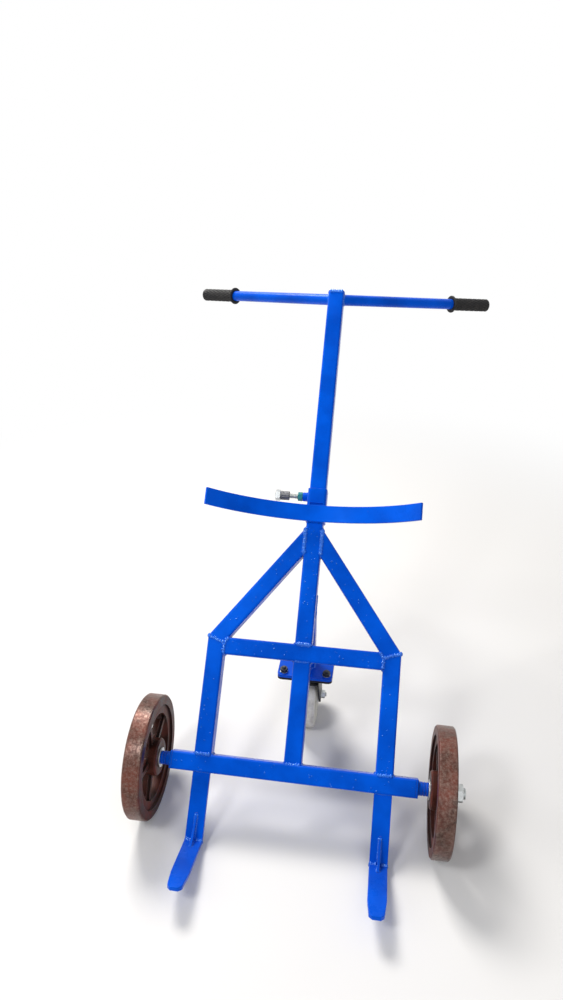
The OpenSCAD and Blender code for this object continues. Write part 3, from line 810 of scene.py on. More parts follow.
def softened(node: str, width: float, coat: Coat, segments: int = 2, angle: float = 30.0,
             body: Body = Body.FRAME) -> Object:
    """Stands in for a CAD piece with a copy whose sharp edges are rounded.

    Args:
        node: CAD piece.
        width: Width of the rounding, in millimetres.
        coat: Its finish.
        segments: Faces across an edge.
        angle: Degrees from which edges are rounded.
        body: Body that carries it.

    Returns:
        The rounded copy.
    """
    piece = copied(frame["nodes"][node], Matrix())
    pick_only(piece)
    bpy.ops.mesh.customdata_custom_splitnormals_clear()
    with editing(piece):
        bpy.ops.mesh.remove_doubles(threshold=DOUBLED * MM)
        bpy.ops.mesh.dissolve_limited(angle_limit=radians(FLAT))
    applied(piece, "rounding", "BEVEL", width=width * MM, segments=segments, limit_method="ANGLE",
            angle_limit=radians(angle))
    settle(piece, node + "_finished", coat, stands_for=node, body=body)
    return applied(piece, "even_shading", "WEIGHTED_NORMAL", keep_sharp=True)


def dress(nodes: list[str], coat: Coat) -> None:
    """Gives CAD pieces that keep their shape a finish.

    Args:
        nodes: Their names.
        coat: The finish.
    """
    for node in nodes:
        mesh = frame["nodes"][node].data
        mesh.materials.clear()
        mesh.materials.append(coat.material)
        LOG.info("%s: kept from CAD", node)


def flipped(points: tuple[Point, ...]) -> tuple[Point, ...]:
    """Gives points or directions on the frame's other side."""
    return tuple((-x, y, z) for x, y, z in points)


@dataclass(frozen=True)
class Seam:
    """One run of weld bead, with sizes in millimetres."""

    path: tuple[Point, ...]
    up: tuple[Point, ...]
    width: float = 10.0
    height: float = 3.0
    step: float = 5.4

    @classmethod
    def line(cls, start: Point, end: Point, up: Point, *bead: float) -> "Seam":
        """Makes a straight seam that stands out in one direction.

        Args:
            start: One end.
            end: The other.
            up: Way that it stands out.
            *bead: Width, height and step, where unusual.

        Returns:
            The seam.
        """
        return cls((start, end), (up, up), *bead)

    @classmethod
    def wide(cls, half: float, y: float, z: float, up: Point, *bead: float) -> "Seam":
        """Makes a seam from left to right over the middle."""
        return cls.line((-half, y, z), (half, y, z), up, *bead)

    @classmethod
    def deep(cls, x: float, half: float, z: float, up: Point, *bead: float) -> "Seam":
        """Makes a seam from front to rear over the middle."""
        return cls.line((x, -half, z), (x, half, z), up, *bead)

    @classmethod
    def ring(cls, x: float, radius: float, z: float, way: int, count: int, *bead: float) -> "Seam":
        """Makes a seam round a bar that runs from side to side.

        Args:
            x: Where the bar meets its plate.
            radius: Radius of the bar.
            z: Height of its middle.
            way: 1 for a bar that goes right, -1 for left.
            count: Points on it.
            *bead: Width, height and step, where unusual.

        Returns:
            The closed seam.
        """
        turns = [tau * i / count for i in range(count + 1)]
        path = tuple((x, radius * cos(t), z + radius * sin(t)) for t in turns)
        return cls(path, tuple((way, cos(t), sin(t)) for t in turns), *bead)

    def mirrored(self) -> "Seam":
        """Gives the same seam on the frame's other side."""
        return replace(self, path=flipped(self.path), up=flipped(self.up))


def both_sides(seams: list[Seam]) -> list[Seam]:
    """Gives seams of the right side with their mirror images."""
    return seams + [seam.mirrored() for seam in seams]


@dataclass(frozen=True)
class SpatterField:
    """A flat face that caught weld spatter, with sizes in millimetres."""

    corner: Point
    along: Point
    across: Point
    count: int
    up: Point = (0.0, -1.0, 0.0)

    def twins(self) -> list["SpatterField"]:
        """Gives this field with its mirror image on the frame's other side."""
        return [self, SpatterField(*flipped((self.corner, self.along, self.across)), self.count, self.up)]


@dataclass
class WeldShop:
    """Lays weld beads, rows of overlapping scales along the seams, and the spatter round them."""

    stance: Stance
    coat: Coat
    overlap: float = 0.74
    drop_r: float = 2.0
    slip: float = 0.6
    taper: tuple[Point, ...] = ((-0.2, 0.84, 0.78), (-0.7, 0.8, 0.75))
    chance: random.Random = field(default_factory=lambda: random.Random(42))

    def scale(self) -> Object:
        """Models one scale of a bead, a flattened drop of unit size that narrows to one end.

        Returns:
            The scale, along X with its top along Z.
        """
        bpy.ops.object.select_all(action="DESELECT")
        bpy.ops.mesh.primitive_uv_sphere_add(segments=10, ring_count=6, radius=1.0, location=(0, 0, 0))
        drop = bpy.context.active_object
        for behind, width, height in self.taper:
            with editing(drop, lambda place: place.x < behind):
                bpy.ops.transform.resize(value=(1, width, height))
        return drop

    def places(self, seam: Seam) -> list[tuple[Vector, Vector, Vector]]:
        """Walks a seam in even steps.

        Args:
            seam: The seam.

        Returns:
            Point, way along and way up of each scale.
        """
        found = []
        for i in range(len(seam.path) - 1):
            start, end = Vector(seam.path[i]), Vector(seam.path[i + 1])
            run = end - start
            count = max(1, round(run.length / seam.step))
            for k in range(count):
                share = (k + 0.5) / count
                up = Vector(seam.up[i]).lerp(Vector(seam.up[i + 1]), share).normalized()
                found.append((start + run * share, run.normalized(), up))
        return found

    def cast(self, drop: Object, point: Vector, columns: tuple[Vector, ...], leaning: bool = True) -> Object:
        """Puts one copy of a drop of unit size at a point.

        Args:
            drop: The drop.
            point: Its middle, in millimetres.
            columns: Its half length, half width and height, as vectors.
            leaning: False in the row frame from the axle's foot.

        Returns:
            The copy.
        """
        if leaning:
            spot = self.stance.at(tuple(point))
            columns = tuple(self.stance.turn(tuple(c)) for c in columns)
        else:
            spot = point * MM + Vector((0, self.stance.axle.y, 0))
        return copied(drop, Matrix.Translation(spot) @ Matrix([c * MM for c in columns]).transposed().to_4x4())

    def finish(self, drop: Object, copies: list[Object], name: str, body: Body) -> Object:
        """Makes one piece of a drop's copies and puts the drop away.

        Args:
            drop: The drop.
            copies: Its copies.
            name: Name of the piece.
            body: Body that carries it.

        Returns:
            The piece.
        """
        bpy.data.objects.remove(drop)
        return settle(joined(copies), name, self.coat, SMOOTH_BEAD, body=body)

    def lay(self, name: str, seams: list[Seam], body: Body = Body.FRAME, leaning: bool = True) -> Object:
        """Lays the beads of several seams as one piece.

        Args:
            name: Its name.
            seams: Seams to fill.
            body: Body that carries it.
            leaning: False in the row frame from the axle's foot.

        Returns:
            The beads.
        """
        drop = self.scale()
        copies = []
        for seam in seams:
            for point, along, up in self.places(seam):
                across = up.cross(along).normalized()
                up = along.cross(across)
                grow = self.chance.uniform(0.8, 1.16)
                slip = across * self.chance.uniform(-self.slip, self.slip)
                half = seam.step * self.overlap * self.chance.uniform(0.88, 1.18)
                columns = (along * half, across * seam.width / 2 * grow, up * seam.height * grow)
                copies.append(self.cast(drop, point + slip, columns, leaning))
        return self.finish(drop, copies, name, body)

    def spatter(self, name: str, fields: list[SpatterField], body: Body = Body.FRAME) -> Object:
        """Scatters small round drops over flat faces.

        Args:
            name: Name of the piece.
            fields: Faces in the upright frame.
            body: Body that carries it.

        Returns:
            The drops as one piece.
        """
        drop = self.scale()
        copies = []
        for face in fields:
            along, across, up = Vector(face.along), Vector(face.across), Vector(face.up)
            for _ in range(face.count):
                point = Vector(face.corner) + along * self.chance.random() + across * self.chance.random()
                size = self.chance.uniform(0.7, 1.0) ** 2 * self.drop_r
                columns = (along.normalized() * size * 1.2, across.normalized() * size, up * size * 0.8)
                copies.append(self.cast(drop, point, columns))
        return self.finish(drop, copies, name, body)


@dataclass
class TubeFrame:
    """Mast, braces, posts and bars of square tube with their weld beads, in millimetres."""

    weld: WeldShop
    paint: Coat
    half: float = TUBE_HALF
    post_x: float = POST_X
    crossbar_z: float = 266.0
    knee_z: float = 280.0
    apex_z: float = 556.0
    bar_end: float = BAR_END
    setback: float = 5.0
    mast_top: float = 1190.0
    cap: float = 3.0
    shoulder_r: float = SHOULDER_R
    flat: float = 16.5
    inset: float = 3.0
    base: Bead = (10.5, 3.2, 4.6)
    lumps: Bead = (12.0, 4.3, 9.2)
    lid_bead: Bead = (6.0, 1.6)
    back_bead: Bead = (9.5, 3.4)
    stub_bead: Bead = (6.5, 1.9)
    clear: float = 30.0
    lift: float = 8.0
    margin: float = 10.0
    front_drops: int = 14
    back_drops: int = 8
    mast_drops: int = 30

    def dress(self) -> None:
        """Paints the tubes, which keep their CAD shape, and rounds the flat plates."""
        dress(["mast", "brace_left", "brace_right", "side_post_left", "side_post_right", "upper_crossbar",
               "lower_center_post", "axle_bar", "handle_arm_left", "handle_arm_right", "caster_arm"], self.paint)
        softened("mast_cap", 1.0, self.paint)
        softened("axle_end_plates", 1.0, self.paint)

    def faces(self, start: tuple[float, float], end: tuple[float, float], *bead: float) -> list[Seam]:
        """Gives a flush seam on the front face and its twin on the back face.

        Args:
            start: Right and up of one end.
            end: The same of the other.
            *bead: Width, height and step, where unusual.

        Returns:
            Both seams.
        """
        return [Seam.line((start[0], way * self.half, start[1]), (end[0], way * self.half, end[1]), (0, way, 0), *bead)
                for way in (-1, 1)]

    def lumpy(self, start: tuple[float, float], end: tuple[float, float]) -> list[Seam]:
        """Gives a flush seam on both faces with lumps where the rod was held."""
        return self.faces(start, end, *self.base) + self.faces(start, end, *self.lumps)

    def brace_seams(self) -> list[Seam]:
        """Lists the seams of the right brace at the mast, at the post and at the crossbar.

        Returns:
            Seams in the upright frame.
        """
        h, f, rise = self.half, self.flat, self.apex_z - self.knee_z
        inner, outer, top = self.post_x - h, self.post_x + h, self.crossbar_z + h
        angle = atan2(self.post_x, rise)
        sine, cosine = sin(angle), cos(angle)
        meet = self.apex_z - h * rise / self.post_x
        reach, tilt = h / sine, tan(angle / 2) * h
        low, high = self.knee_z - tilt, self.knee_z + tilt
        under = (self.post_x - h * cosine, self.knee_z - h * sine)
        corner = under[0] - (top - under[1]) / cosine * sine
        return [
            *self.lumpy((h, meet - reach + self.inset), (h, meet + reach - self.inset)),
            *self.faces((inner + 1, low), (outer - 1, high)),
            *self.faces((inner, low), (corner, top - 1)),
            Seam.deep(h, f, meet + reach, (1 + cosine, 0, sine)),
            Seam.deep(h, f, meet - reach, (1 - cosine, 0, -sine)),
            Seam.deep(outer, f, high, (1, 0, 0.3)),
            Seam.deep(corner, f, top, (-cosine, 0, 1 - sine)),
        ]

    def post_seams(self) -> list[Seam]:
        """Lists the seams of the right side post, the crossbar's right end and the right axle stub.

        Returns:
            Seams in the upright frame.
        """
        h, f, low = self.half, self.flat, self.crossbar_z - self.half
        inner, outer = self.post_x - h, self.post_x + h
        return [
            *self.faces((inner + self.inset, h), (outer - self.inset, h)),
            *self.faces((inner, low + 2), (inner, self.knee_z - 8)),
            Seam.deep(inner, f, h, (-1, 0, 1)),
            Seam.deep(outer, f, h, (1, 0, 1)),
            Seam.deep(inner, f, low, (-1, 0, -1)),
            Seam.ring(self.bar_end, self.shoulder_r, 0.0, 1, 18, *self.stub_bead),
        ]

    def middle_seams(self) -> list[Seam]:
        """Lists the seams of the mast's foot and top and of the lower centre post.

        Returns:
            Seams in the upright frame.
        """
        h, f, front, back = self.half, self.flat, self.setback - self.half, self.half + self.setback / 2
        low, top, lid = self.crossbar_z - h, self.crossbar_z + h, self.mast_top - self.cap
        return [
            *self.lumpy((-f, top), (f, top)),
            *self.faces((-f, lid), (f, lid)),
            *both_sides([
                Seam.deep(h, f, top, (1, 0, 1)),
                Seam.deep(h, f, lid, (1, 0, 0.2), *self.lid_bead),
                Seam.line((h, front + 4, low), (h, f, low), (1, 0, -1)),
                Seam.line((h, front + 4, h), (h, f, h), (1, 0, 1)),
            ]),
            Seam.wide(f, front, low, (0, -1, -1)),
            Seam.wide(f, front, h, (0, -1, 1)),
            Seam.wide(f, back, low + 1.5, (0, 1, 1), *self.back_bead),
            Seam.wide(f, back, h - 1.5, (0, 1, -1), *self.back_bead),
        ]

    def spatter_fields(self) -> list[SpatterField]:
        """Lists the faces near the seams, in front and behind.

        Returns:
            Fields in the upright frame.
        """
        h, f, clear = self.half, self.flat, self.clear
        low, top = self.crossbar_z - f, self.crossbar_z + h
        run = Vector((-self.post_x, 0, self.apex_z - self.knee_z))
        way = run.normalized()
        side = Vector((way.z, 0, -way.x))
        knee = Vector((self.post_x, 0, self.knee_z)) + way * clear - side * (clear / 2)
        wide, tall = (2 * f, 0, 0), (0, 0, 2 * f)
        fields = []
        for out, count in ((-1.0, self.front_drops), (1.0, self.back_drops)):
            y = out * h
            for corner, along, across in (
                    ((self.post_x - f, y, h + self.lift), wide, (0, 0, low - h - clear)),
                    ((knee.x, y, knee.z), tuple(way * (run.length - 3 * clear)), tuple(side * clear)),
                    ((clear, y, low), (self.post_x - 2 * clear, 0, 0), tall),
                    ((clear, y, -f), (self.bar_end - clear - self.margin, 0, 0), tall)):
                fields += SpatterField(corner, along, across, count, (0.0, out, 0.0)).twins()
        fields.append(SpatterField((-f, -h, top + self.lift), wide, (0, 0, self.apex_z - top), self.mast_drops))
        return fields

    def build(self) -> None:
        """Lays the frame's beads and their spatter."""
        self.dress()
        self.weld.lay("frame_weld_braces", both_sides(self.brace_seams()))
        self.weld.lay("frame_weld_posts", both_sides(self.post_seams()))
        self.weld.lay("frame_weld_middle", self.middle_seams())
        self.weld.spatter("frame_weld_spatter", self.spatter_fields())


@dataclass
class Handle:
    """The two handle arms' seams and their rubber grips, in millimetres and degrees."""

    weld: WeldShop
    rubber: Coat
    start: Point = (0.0, -8.0, 1168.0)
    sweep: float = 32.0
    plane: float = 62.0
    radius: float = 14.0
    mast_half: float = TUBE_HALF
    grip_at: float = 358.0
    grip_len: float = 118.0
    grip_r: float = 17.0
    stop_r: float = 23.0
    stop_t: float = 5.0
    end_t: float = 4.0
    blocks: int = 14
    rows: int = 13
    block_h: float = 1.5
    block_slope: float = 0.6
    slack: float = 0.1
    edge: float = 0.35
    edge_angle: float = 35.0
    smooth: float = 50.0
    seam_points: int = 24
    bead: Bead = (7.0, 2.0)

    def axis(self) -> Vector:
        """Gives the right arm's direction in the upright frame."""
        sweep, plane = radians(self.sweep), radians(self.plane)
        return Vector((cos(sweep), sin(sweep) * sin(plane), sin(sweep) * cos(plane)))

    def root_seam(self) -> Seam:
        """Gives the seam where the right arm's tube meets the mast's side.

        Returns:
            Closed seam round the tube.
        """
        axis = self.axis()
        side = axis.cross(Vector((0, 0, 1))).normalized()
        rise = side.cross(axis)
        path, ups = [], []
        for i in range(self.seam_points + 1):
            turn = tau * i / self.seam_points
            out = side * cos(turn) + rise * sin(turn)
            base = Vector(self.start) + out * self.radius
            path.append(tuple(base + axis * ((self.mast_half - base.x) / axis.x)))
            ups.append(tuple(out + Vector((0.9, 0, 0))))
        return Seam(tuple(path), tuple(ups), *self.bead)

    def grip(self, side: int) -> Object:
        """Models one grip: hand stop, raised blocks in staggered rows and a rounded end.

        Args:
            side: 1 for the right one, -1 for the left.

        Returns:
            The grip in place.
        """
        bore, body_r, stop_r, stop_t = self.radius + self.slack, self.grip_r - self.block_h, self.stop_r, self.stop_t
        low, tail = stop_t + 3, self.grip_len + self.end_t
        row = (self.grip_len - stop_t - 8) / self.rows
        piece = turned([
            (bore, self.grip_len + self.slack), (bore, 0.0), (stop_r - 1.5, 0), (stop_r, 1.5), (stop_r, stop_t - 1.5),
            (stop_r - 1.5, stop_t), (body_r + 1, stop_t + 1), (body_r, low),
            *((body_r, low + row * (i + 1)) for i in range(self.rows)),
            (self.grip_r, tail - 5), (self.grip_r, tail - 2.5), (self.grip_r - 0.8, tail - 0.8),
            (self.grip_r - 3, tail), (4.0, tail), (3.4, tail - 0.6), (3.0, tail - 2.5),
        ], 2 * self.blocks)
        self.raise_blocks(piece, low, low + row * self.rows, row)
        applied(piece, "moulded_edges", "BEVEL", width=self.edge * MM, segments=1,
                angle_limit=radians(self.edge_angle))
        axis = self.axis()
        axis.x *= side
        spot = self.weld.stance.at(tuple(Vector(self.start) + axis * self.grip_at))
        aim = self.weld.stance.turn(tuple(axis)).to_track_quat("Z", "Y")
        piece.matrix_world = Matrix.Translation(spot) @ aim.to_matrix().to_4x4()
        return piece

    def raise_blocks(self, piece: Object, low: float, high: float, row: float) -> None:
        """Raises every second face of each row, so that the blocks stand like bricks.

        Args:
            piece: Grip along Z.
            low: Start of the rows, in millimetres.
            high: End of the rows.
            row: Height of one row.
        """
        with editing(piece):
            bpy.ops.mesh.select_mode(type="FACE")
            bpy.ops.mesh.select_all(action="DESELECT")
        for face in piece.data.polygons:
            middle = face.center / MM
            outside = hypot(middle.x, middle.y) > self.radius + 0.7
            if outside and low < middle.z < high and abs(face.normal.z) < 0.3:
                ring = int((middle.z - low) / row)
                place = int((atan2(middle.y, middle.x) % tau) / tau * 2 * self.blocks)
                face.select = (ring + place) % 2 == 0
        bpy.ops.object.mode_set(mode="EDIT")
        bpy.ops.mesh.inset(thickness=self.block_slope * MM, use_individual=True)
        bpy.ops.transform.shrink_fatten(value=self.block_h * MM)
        bpy.ops.mesh.select_mode(type="VERT")
        bpy.ops.object.mode_set(mode="OBJECT")

    def build(self) -> None:
        """Makes both grips and the arms' seams."""
        for side, name in ((1, "grip_right"), (-1, "grip_left")):
            settle(self.grip(side), name + "_rubber", self.rubber, self.smooth, name)
        self.weld.lay("handle_weld", both_sides([self.root_seam()]))


@dataclass
class Toes:
    """The two turned toes with their web plates and stays, in millimetres and degrees."""

    weld: WeldShop
    paint: Coat
    post_x: float = POST_X
    half: float = TUBE_HALF
    front: float = -7.0
    thick: float = 10.0
    drop: float = 165.0
    bend: float = 66.0
    web_t: float = 6.0
    web_h: float = 58.0
    web_l: float = 28.0
    stay_drop: float = 76.0
    stay_back: float = 15.0
    stay_inset: float = 4.0
    side_bead: Bead = (6.0, 1.6)
    web_bead: Bead = (7.5, 2.4)

    def seams(self) -> list[Seam]:
        """Lists the right toe's seams.

        Returns:
            Seams in the upright frame.
        """
        bend, front, back, low = radians(self.bend), self.front, self.front + self.thick, -self.drop
        sine, cosine = sin(bend), cos(bend)
        heel = low - self.thick * tan(bend / 2)
        sides = ((self.post_x - self.half, -1), (self.post_x + self.half, 1))
        webs = ((self.post_x - self.web_t / 2, -1), (self.post_x + self.web_t / 2, 1))
        left, right = sides[0][0] + 1, sides[1][0] - 1
        stay = (sides[0][0] + self.stay_inset, sides[1][0] - self.stay_inset)
        inside = (0, -1 - cosine, sine)
        foot = (front - self.web_l * sine, low - self.web_l * cosine)
        rows = (
            (left, right, front, -self.half, (0, -1, -1)),
            (left, webs[0][0] - 2, front, low, inside),
            (webs[1][0] + 2, right, front, low, inside),
            (left, right, back, heel, (0, 1 + cosine, -sine)),
            (*stay, self.stay_back, -self.half, (0, 1, -1)),
            (*stay, back, -self.half - self.stay_drop, (0, 1, -0.8)),
        )
        seams = [Seam.line((start, y, z), (end, y, z), up) for start, end, y, z, up in rows]
        for x, way in sides:
            seams.append(Seam.line((x, front, low), (x, back, heel), (way, 0, 0), *self.side_bead))
        for x, way in webs:
            seams.append(Seam.line((x, front, low + 3), (x, front, low + self.web_h - 4), (way, -1, 0), *self.web_bead))
            seams.append(Seam.line((x, front - 3, low - 1), (x, foot[0] + 3, foot[1] + 1.3), (way, -cosine, sine),
                                   *self.web_bead))
        return seams

    def build(self) -> None:
        """Rounds the plates' edges and lays the beads."""
        for side in ("left", "right"):
            softened("toe_plate_" + side, 1.6, self.paint, 3)
            for node in ("toe_shank_", "toe_gusset_", "toe_stay_"):
                softened(node + side, 0.8, self.paint)
        self.weld.lay("toe_weld", both_sides(self.seams()))


@dataclass
class RoadWheels:
    """The two cast wheels with axle stubs, bushes, washers and nuts, in millimetres."""

    stance: Stance
    paint: Coat
    oxide: Coat
    zinc: Coat
    bronze: Coat
    bar_end: float = BAR_END
    shoulder: float = 304.0
    shoulder_r: float = SHOULDER_R
    journal_r: float = 12.5
    nut_at: float = 362.6
    nut_t: float = 16.0
    nut_flats: float = 36.0
    tail: float = 6.0
    pitch: float = 2.0
    sides: int = 56
    grooves: Bead = (13.0, 7.0)

    def stub(self, side: int) -> tuple[Object, Object]:
        """Turns one axle stub in two pieces, its painted shoulder and its bare end.

        Args:
            side: 1 for the right one, -1 for the left.

        Returns:
            Shoulder, and journal with threaded tail.
        """
        middle, end, wound = self.stance.axle, self.nut_at + self.nut_t + self.tail, self.nut_at + 2
        r, sunk = self.shoulder_r, self.shoulder_r - 1
        profile = [(r, self.bar_end - 2)]
        for groove in (self.shoulder - back for back in self.grooves):
            profile += [(r, groove), (sunk, groove + 0.5), (sunk, groove + 1.9), (r, groove + 2.4)]
        collar = turned([*profile, (r, self.shoulder - 1.2), (r - 1.2, self.shoulder)], self.sides)
        root, plain = core_r(self.journal_r, self.pitch), self.journal_r - CORE_LAP
        journal = turned([(plain, self.shoulder - 1), (plain, wound), (root, wound + 0.5), (root, end - 1),
                          (root - 1, end)], self.sides)
        thread = threaded(self.journal_r, self.pitch, wound, end, self.sides)
        return laid([collar], middle, 90 * side), laid([journal, thread], middle, 90 * side)

    def build(self) -> None:
        """Rounds the castings and turns stubs and nuts."""
        nuts = []
        for side, way, body in ((1, "right", Body.RIGHT_WHEEL), (-1, "left", Body.LEFT_WHEEL)):
            softened("wheel_" + way, 1.6, self.oxide, 3, 28.0, body)
            collar, journal = self.stub(side)
            settle(collar, "axle_shoulder_" + way, self.paint, 30.0, "axle_stub_" + way)
            settle(journal, "axle_end_" + way, self.zinc, SMOOTH_TURNED)
            nuts.append(laid([hexed(self.nut_flats, self.nut_at, self.nut_t)], self.stance.axle, 90 * side))
        dress(["hub_bush_left", "hub_bush_right"], self.bronze)
        softened("inner_washers", 0.4, self.zinc)
        softened("outer_washers", 0.4, self.zinc)
        settle(joined(nuts), "axle_nuts_chamfered", self.zinc, SMOOTH_TURNED, "axle_nuts")


@dataclass
class Saddle:
    """The sliding collar with its block and curved bar, and the clamp, in millimetres."""

    weld: WeldShop
    paint: Coat
    zinc: Coat
    teal: Coat
    dark: Coat
    collar: float = 23.35
    block_half: float = 18.0
    block_t: float = 8.0
    top: float = 615.0
    height: float = 40.0
    clamp_z: float = 641.5
    boss_r: float = 11.0
    back_r: float = 336.0
    lock_at: float = 36.65
    lock_t: float = 12.0
    lock_flats: float = 19.0
    knob_end: float = 91.65
    end_t: float = 12.0
    end_flats: float = 24.0
    screw_r: float = 6.0
    screw_tip: float = 20.3
    pitch: float = 1.75
    block_bead: Bead = (6.5, 2.0)
    boss_bead: Bead = (6.0, 1.9)

    def seams(self) -> list[Seam]:
        """Lists the seams of block, bar and boss.

        Returns:
            Seams in the upright frame.
        """
        x, low, high = self.block_half, self.top - self.height + 2, self.top - 2
        face = -self.collar - self.block_t - x ** 2 / 2 / self.back_r
        upright = [Seam.line((x, y, low), (x, y, high), up, *self.block_bead)
                   for y, up in ((-self.collar, (1, -1, 0)), (face, (1, 0.6, 0)))]
        return both_sides(upright) + [Seam.ring(-self.collar, self.boss_r, self.clamp_z, -1, 16, *self.boss_bead)]

    def clamp(self) -> None:
        """Turns the clamp's screw and its nuts and rounds the knob."""
        middle, tip = self.weld.stance.at((0, 0, self.clamp_z)), self.screw_tip
        root, end = core_r(self.screw_r, self.pitch), self.knob_end + self.end_t + 2
        core = turned([(root - 1, tip), (root, tip + 1), (root, end - 0.8), (root - 0.8, end)], 28)
        thread = threaded(self.screw_r, self.pitch, tip + 1, end)
        lock = hexed(self.lock_flats, self.lock_at, self.lock_t)
        cap = hexed(self.end_flats, self.knob_end, self.end_t)
        for pieces, node, ending, coat in (([core, thread], "clamp_screw", "_wound", self.zinc),
                                           ([lock], "clamp_lock_nut", "_chamfered", self.teal),
                                           ([cap], "clamp_knob_nut", "_chamfered", self.zinc)):
            settle(laid(pieces, middle, -90), node + ending, coat, SMOOTH_TURNED, node, body=Body.CLAMP)
        softened("clamp_knob", 0.8, self.dark, 2, 24.0, body=Body.CLAMP)

    def build(self) -> None:
        """Rounds the plates, lays the beads and makes the clamp."""
        softened("saddle_bar", 1.2, self.paint, 3, body=Body.SADDLE)
        softened("saddle_block", 0.8, self.paint, body=Body.SADDLE)
        softened("saddle_collar", 0.8, self.paint, body=Body.SADDLE)
        softened("clamp_boss", 1.0, self.paint, body=Body.SADDLE)
        self.weld.lay("saddle_weld", self.seams(), Body.SADDLE)
        self.clamp()


@dataclass
class Caster:
    """The rear arm's plates and the swivel caster, in millimetres."""

    weld: WeldShop
    paint: Coat
    black: Coat
    zinc: Coat
    steel: Coat
    nylon: Coat
    bronze: Coat
    half: float = TUBE_HALF
    inset: float = 3.0
    root_z: float = 378.0
    plate_top: float = 234.0
    plates: float = 14.0
    bolt_x: float = 52.5
    bolt_y: float = 40.0
    bolt_r: float = 5.0
    bolt_flats: float = 17.0
    bolt_head: float = 6.4
    washer_t: float = 2.0
    nut_t: float = 8.0
    bolt_tail: float = 5.0
    pitch: float = 1.5
    fork_half: float = 34.0
    axle_r: float = 6.0
    axle_flats: float = 18.96
    axle_head: float = 7.68
    axle_nut: float = 10.2
    axle_tail: float = 4.0
    axle_pitch: float = 1.75
    stay_up: float = 95.0
    stay_down: float = 55.0
    side_bead: Bead = (7.0, 1.9)

    def root_seams(self) -> list[Seam]:
        """Lists the seams of the arm's root and of its stay on the mast.

        Returns:
            Seams in the upright frame.
        """
        lean, h, run = self.weld.stance.lean, self.half, self.half - self.inset
        sine, cosine = sin(lean), cos(lean)
        low, high = self.root_z - h / sine, self.root_z + h / sine
        return both_sides([Seam.line((h, h, low + 3), (h, h, high - 2), (1, 0.3, 0), *self.side_bead)]) + [
            Seam.wide(run, h, low, (0, 1 - cosine, -sine)),
            Seam.wide(run, h, high + self.stay_up, (0, 1, 0.6)),
            Seam.wide(run, h + self.stay_down * sine, high - self.stay_down * cosine, (0, 1, -0.1)),
        ]

    def foot_seams(self) -> list[Seam]:
        """Lists the seams of the arm's foot on the mounting plate.

        Returns:
            Seams in the row frame from the axle's foot.
        """
        lean, h, z = self.weld.stance.lean, self.half, self.plate_top
        y = h * cos(lean) + self.root_z * sin(lean)
        front, back, run = y - h, y + h, h - self.inset
        return both_sides([Seam.line((h, front + self.inset, z), (h, back - self.inset, z), (1, 0, 1))]) + [
            Seam.wide(run, front, z, (0, -1, 1)),
            Seam.wide(run, back, z, (0, 1, 1)),
        ]

    def plate_bolts(self) -> None:
        """Makes one plate bolt and one nut and copies both to the four holes."""
        seat, under = self.plate_top + self.washer_t, self.plate_top - self.plates
        length = seat + self.nut_t + self.bolt_tail - under
        bolt = laid(bolted(self.bolt_flats, self.bolt_head, self.bolt_r, length, seat - under, self.pitch),
                    Vector((0, 0, under * MM)))
        nut = laid([hexed(self.bolt_flats, seat, self.nut_t)], Vector())
        back = joint_place("caster_swivel").y
        holes = [Matrix.Translation((x * MM, back + y * MM, 0)) @ Matrix.Rotation(x + 2 * y, 4, "Z")
                 for x in (-self.bolt_x, self.bolt_x) for y in (-self.bolt_y, self.bolt_y)]
        for model, node in ((bolt, "caster_bolts"), (nut, "caster_nuts")):
            copies = [copied(model, hole) for hole in holes]
            bpy.data.objects.remove(model)
            settle(joined(copies), node + "_wound", self.steel, SMOOTH_TURNED, node)

    def wheel_bolt(self) -> None:
        """Makes the bolt and nut that carry the caster's wheel."""
        spot, reach = joint_place("caster_wheel_spin"), 2 * self.fork_half
        parts = bolted(self.axle_flats, self.axle_head, self.axle_r, reach + self.axle_nut + self.axle_tail, reach,
                       self.axle_pitch)
        bolt = laid(parts, spot - Vector((self.fork_half * MM, 0, 0)), 90)
        settle(bolt, "caster_axle_bolt_wound", self.zinc, SMOOTH_TURNED, "caster_axle_bolt", body=Body.FORK)
        nut = laid([hexed(self.axle_flats, self.fork_half, self.axle_nut)], spot, 90)
        settle(nut, "caster_axle_nut_chamfered", self.zinc, SMOOTH_TURNED, "caster_axle_nut", body=Body.FORK)

    def build(self) -> None:
        """Rounds the plates, fork and wheel, bolts them and lays the beads."""
        softened("caster_mount_plate", 0.9, self.paint)
        softened("caster_arm_stay", 0.8, self.paint)
        softened("caster_top_plate", 0.9, self.black)
        softened("caster_fork", 0.9, self.black, body=Body.FORK)
        softened("caster_bolt_washers", 0.3, self.zinc)
        self.plate_bolts()
        self.wheel_bolt()
        softened("caster_wheel", 1.5, self.nylon, 3, 24.0, body=Body.CASTER_WHEEL)
        dress(["caster_kingpin", "caster_swivel_balls", "caster_axle_sleeve"], self.zinc)
        dress(["caster_wheel_bush"], self.bronze)
        self.weld.lay("caster_arm_weld", self.root_seams())
        self.weld.lay("caster_plate_weld", self.foot_seams(), leaning=False)


@dataclass(frozen=True)
class SoftBox:
    """One square soft box, in metres and watts."""

    name: str
    place: Point
    target: Point
    size: float
    power: float
    colour: str = "#ffffff"

    def hang(self) -> None:
        """Hangs the box so that it looks at its target."""
        box = bpy.data.lights.new(self.name, "AREA")
        box.shape, box.size, box.energy = "SQUARE", self.size, self.power
        box.color = linear(self.colour)[:3]
        lamp = bpy.data.objects.new(self.name, box)
        lamp.location = self.place
        lamp.rotation_euler = (Vector(self.target) - Vector(self.place)).to_track_quat("-Z", "Y").to_euler()
        bpy.context.collection.objects.link(lamp)
        LOG.info("%s: soft box", self.name)


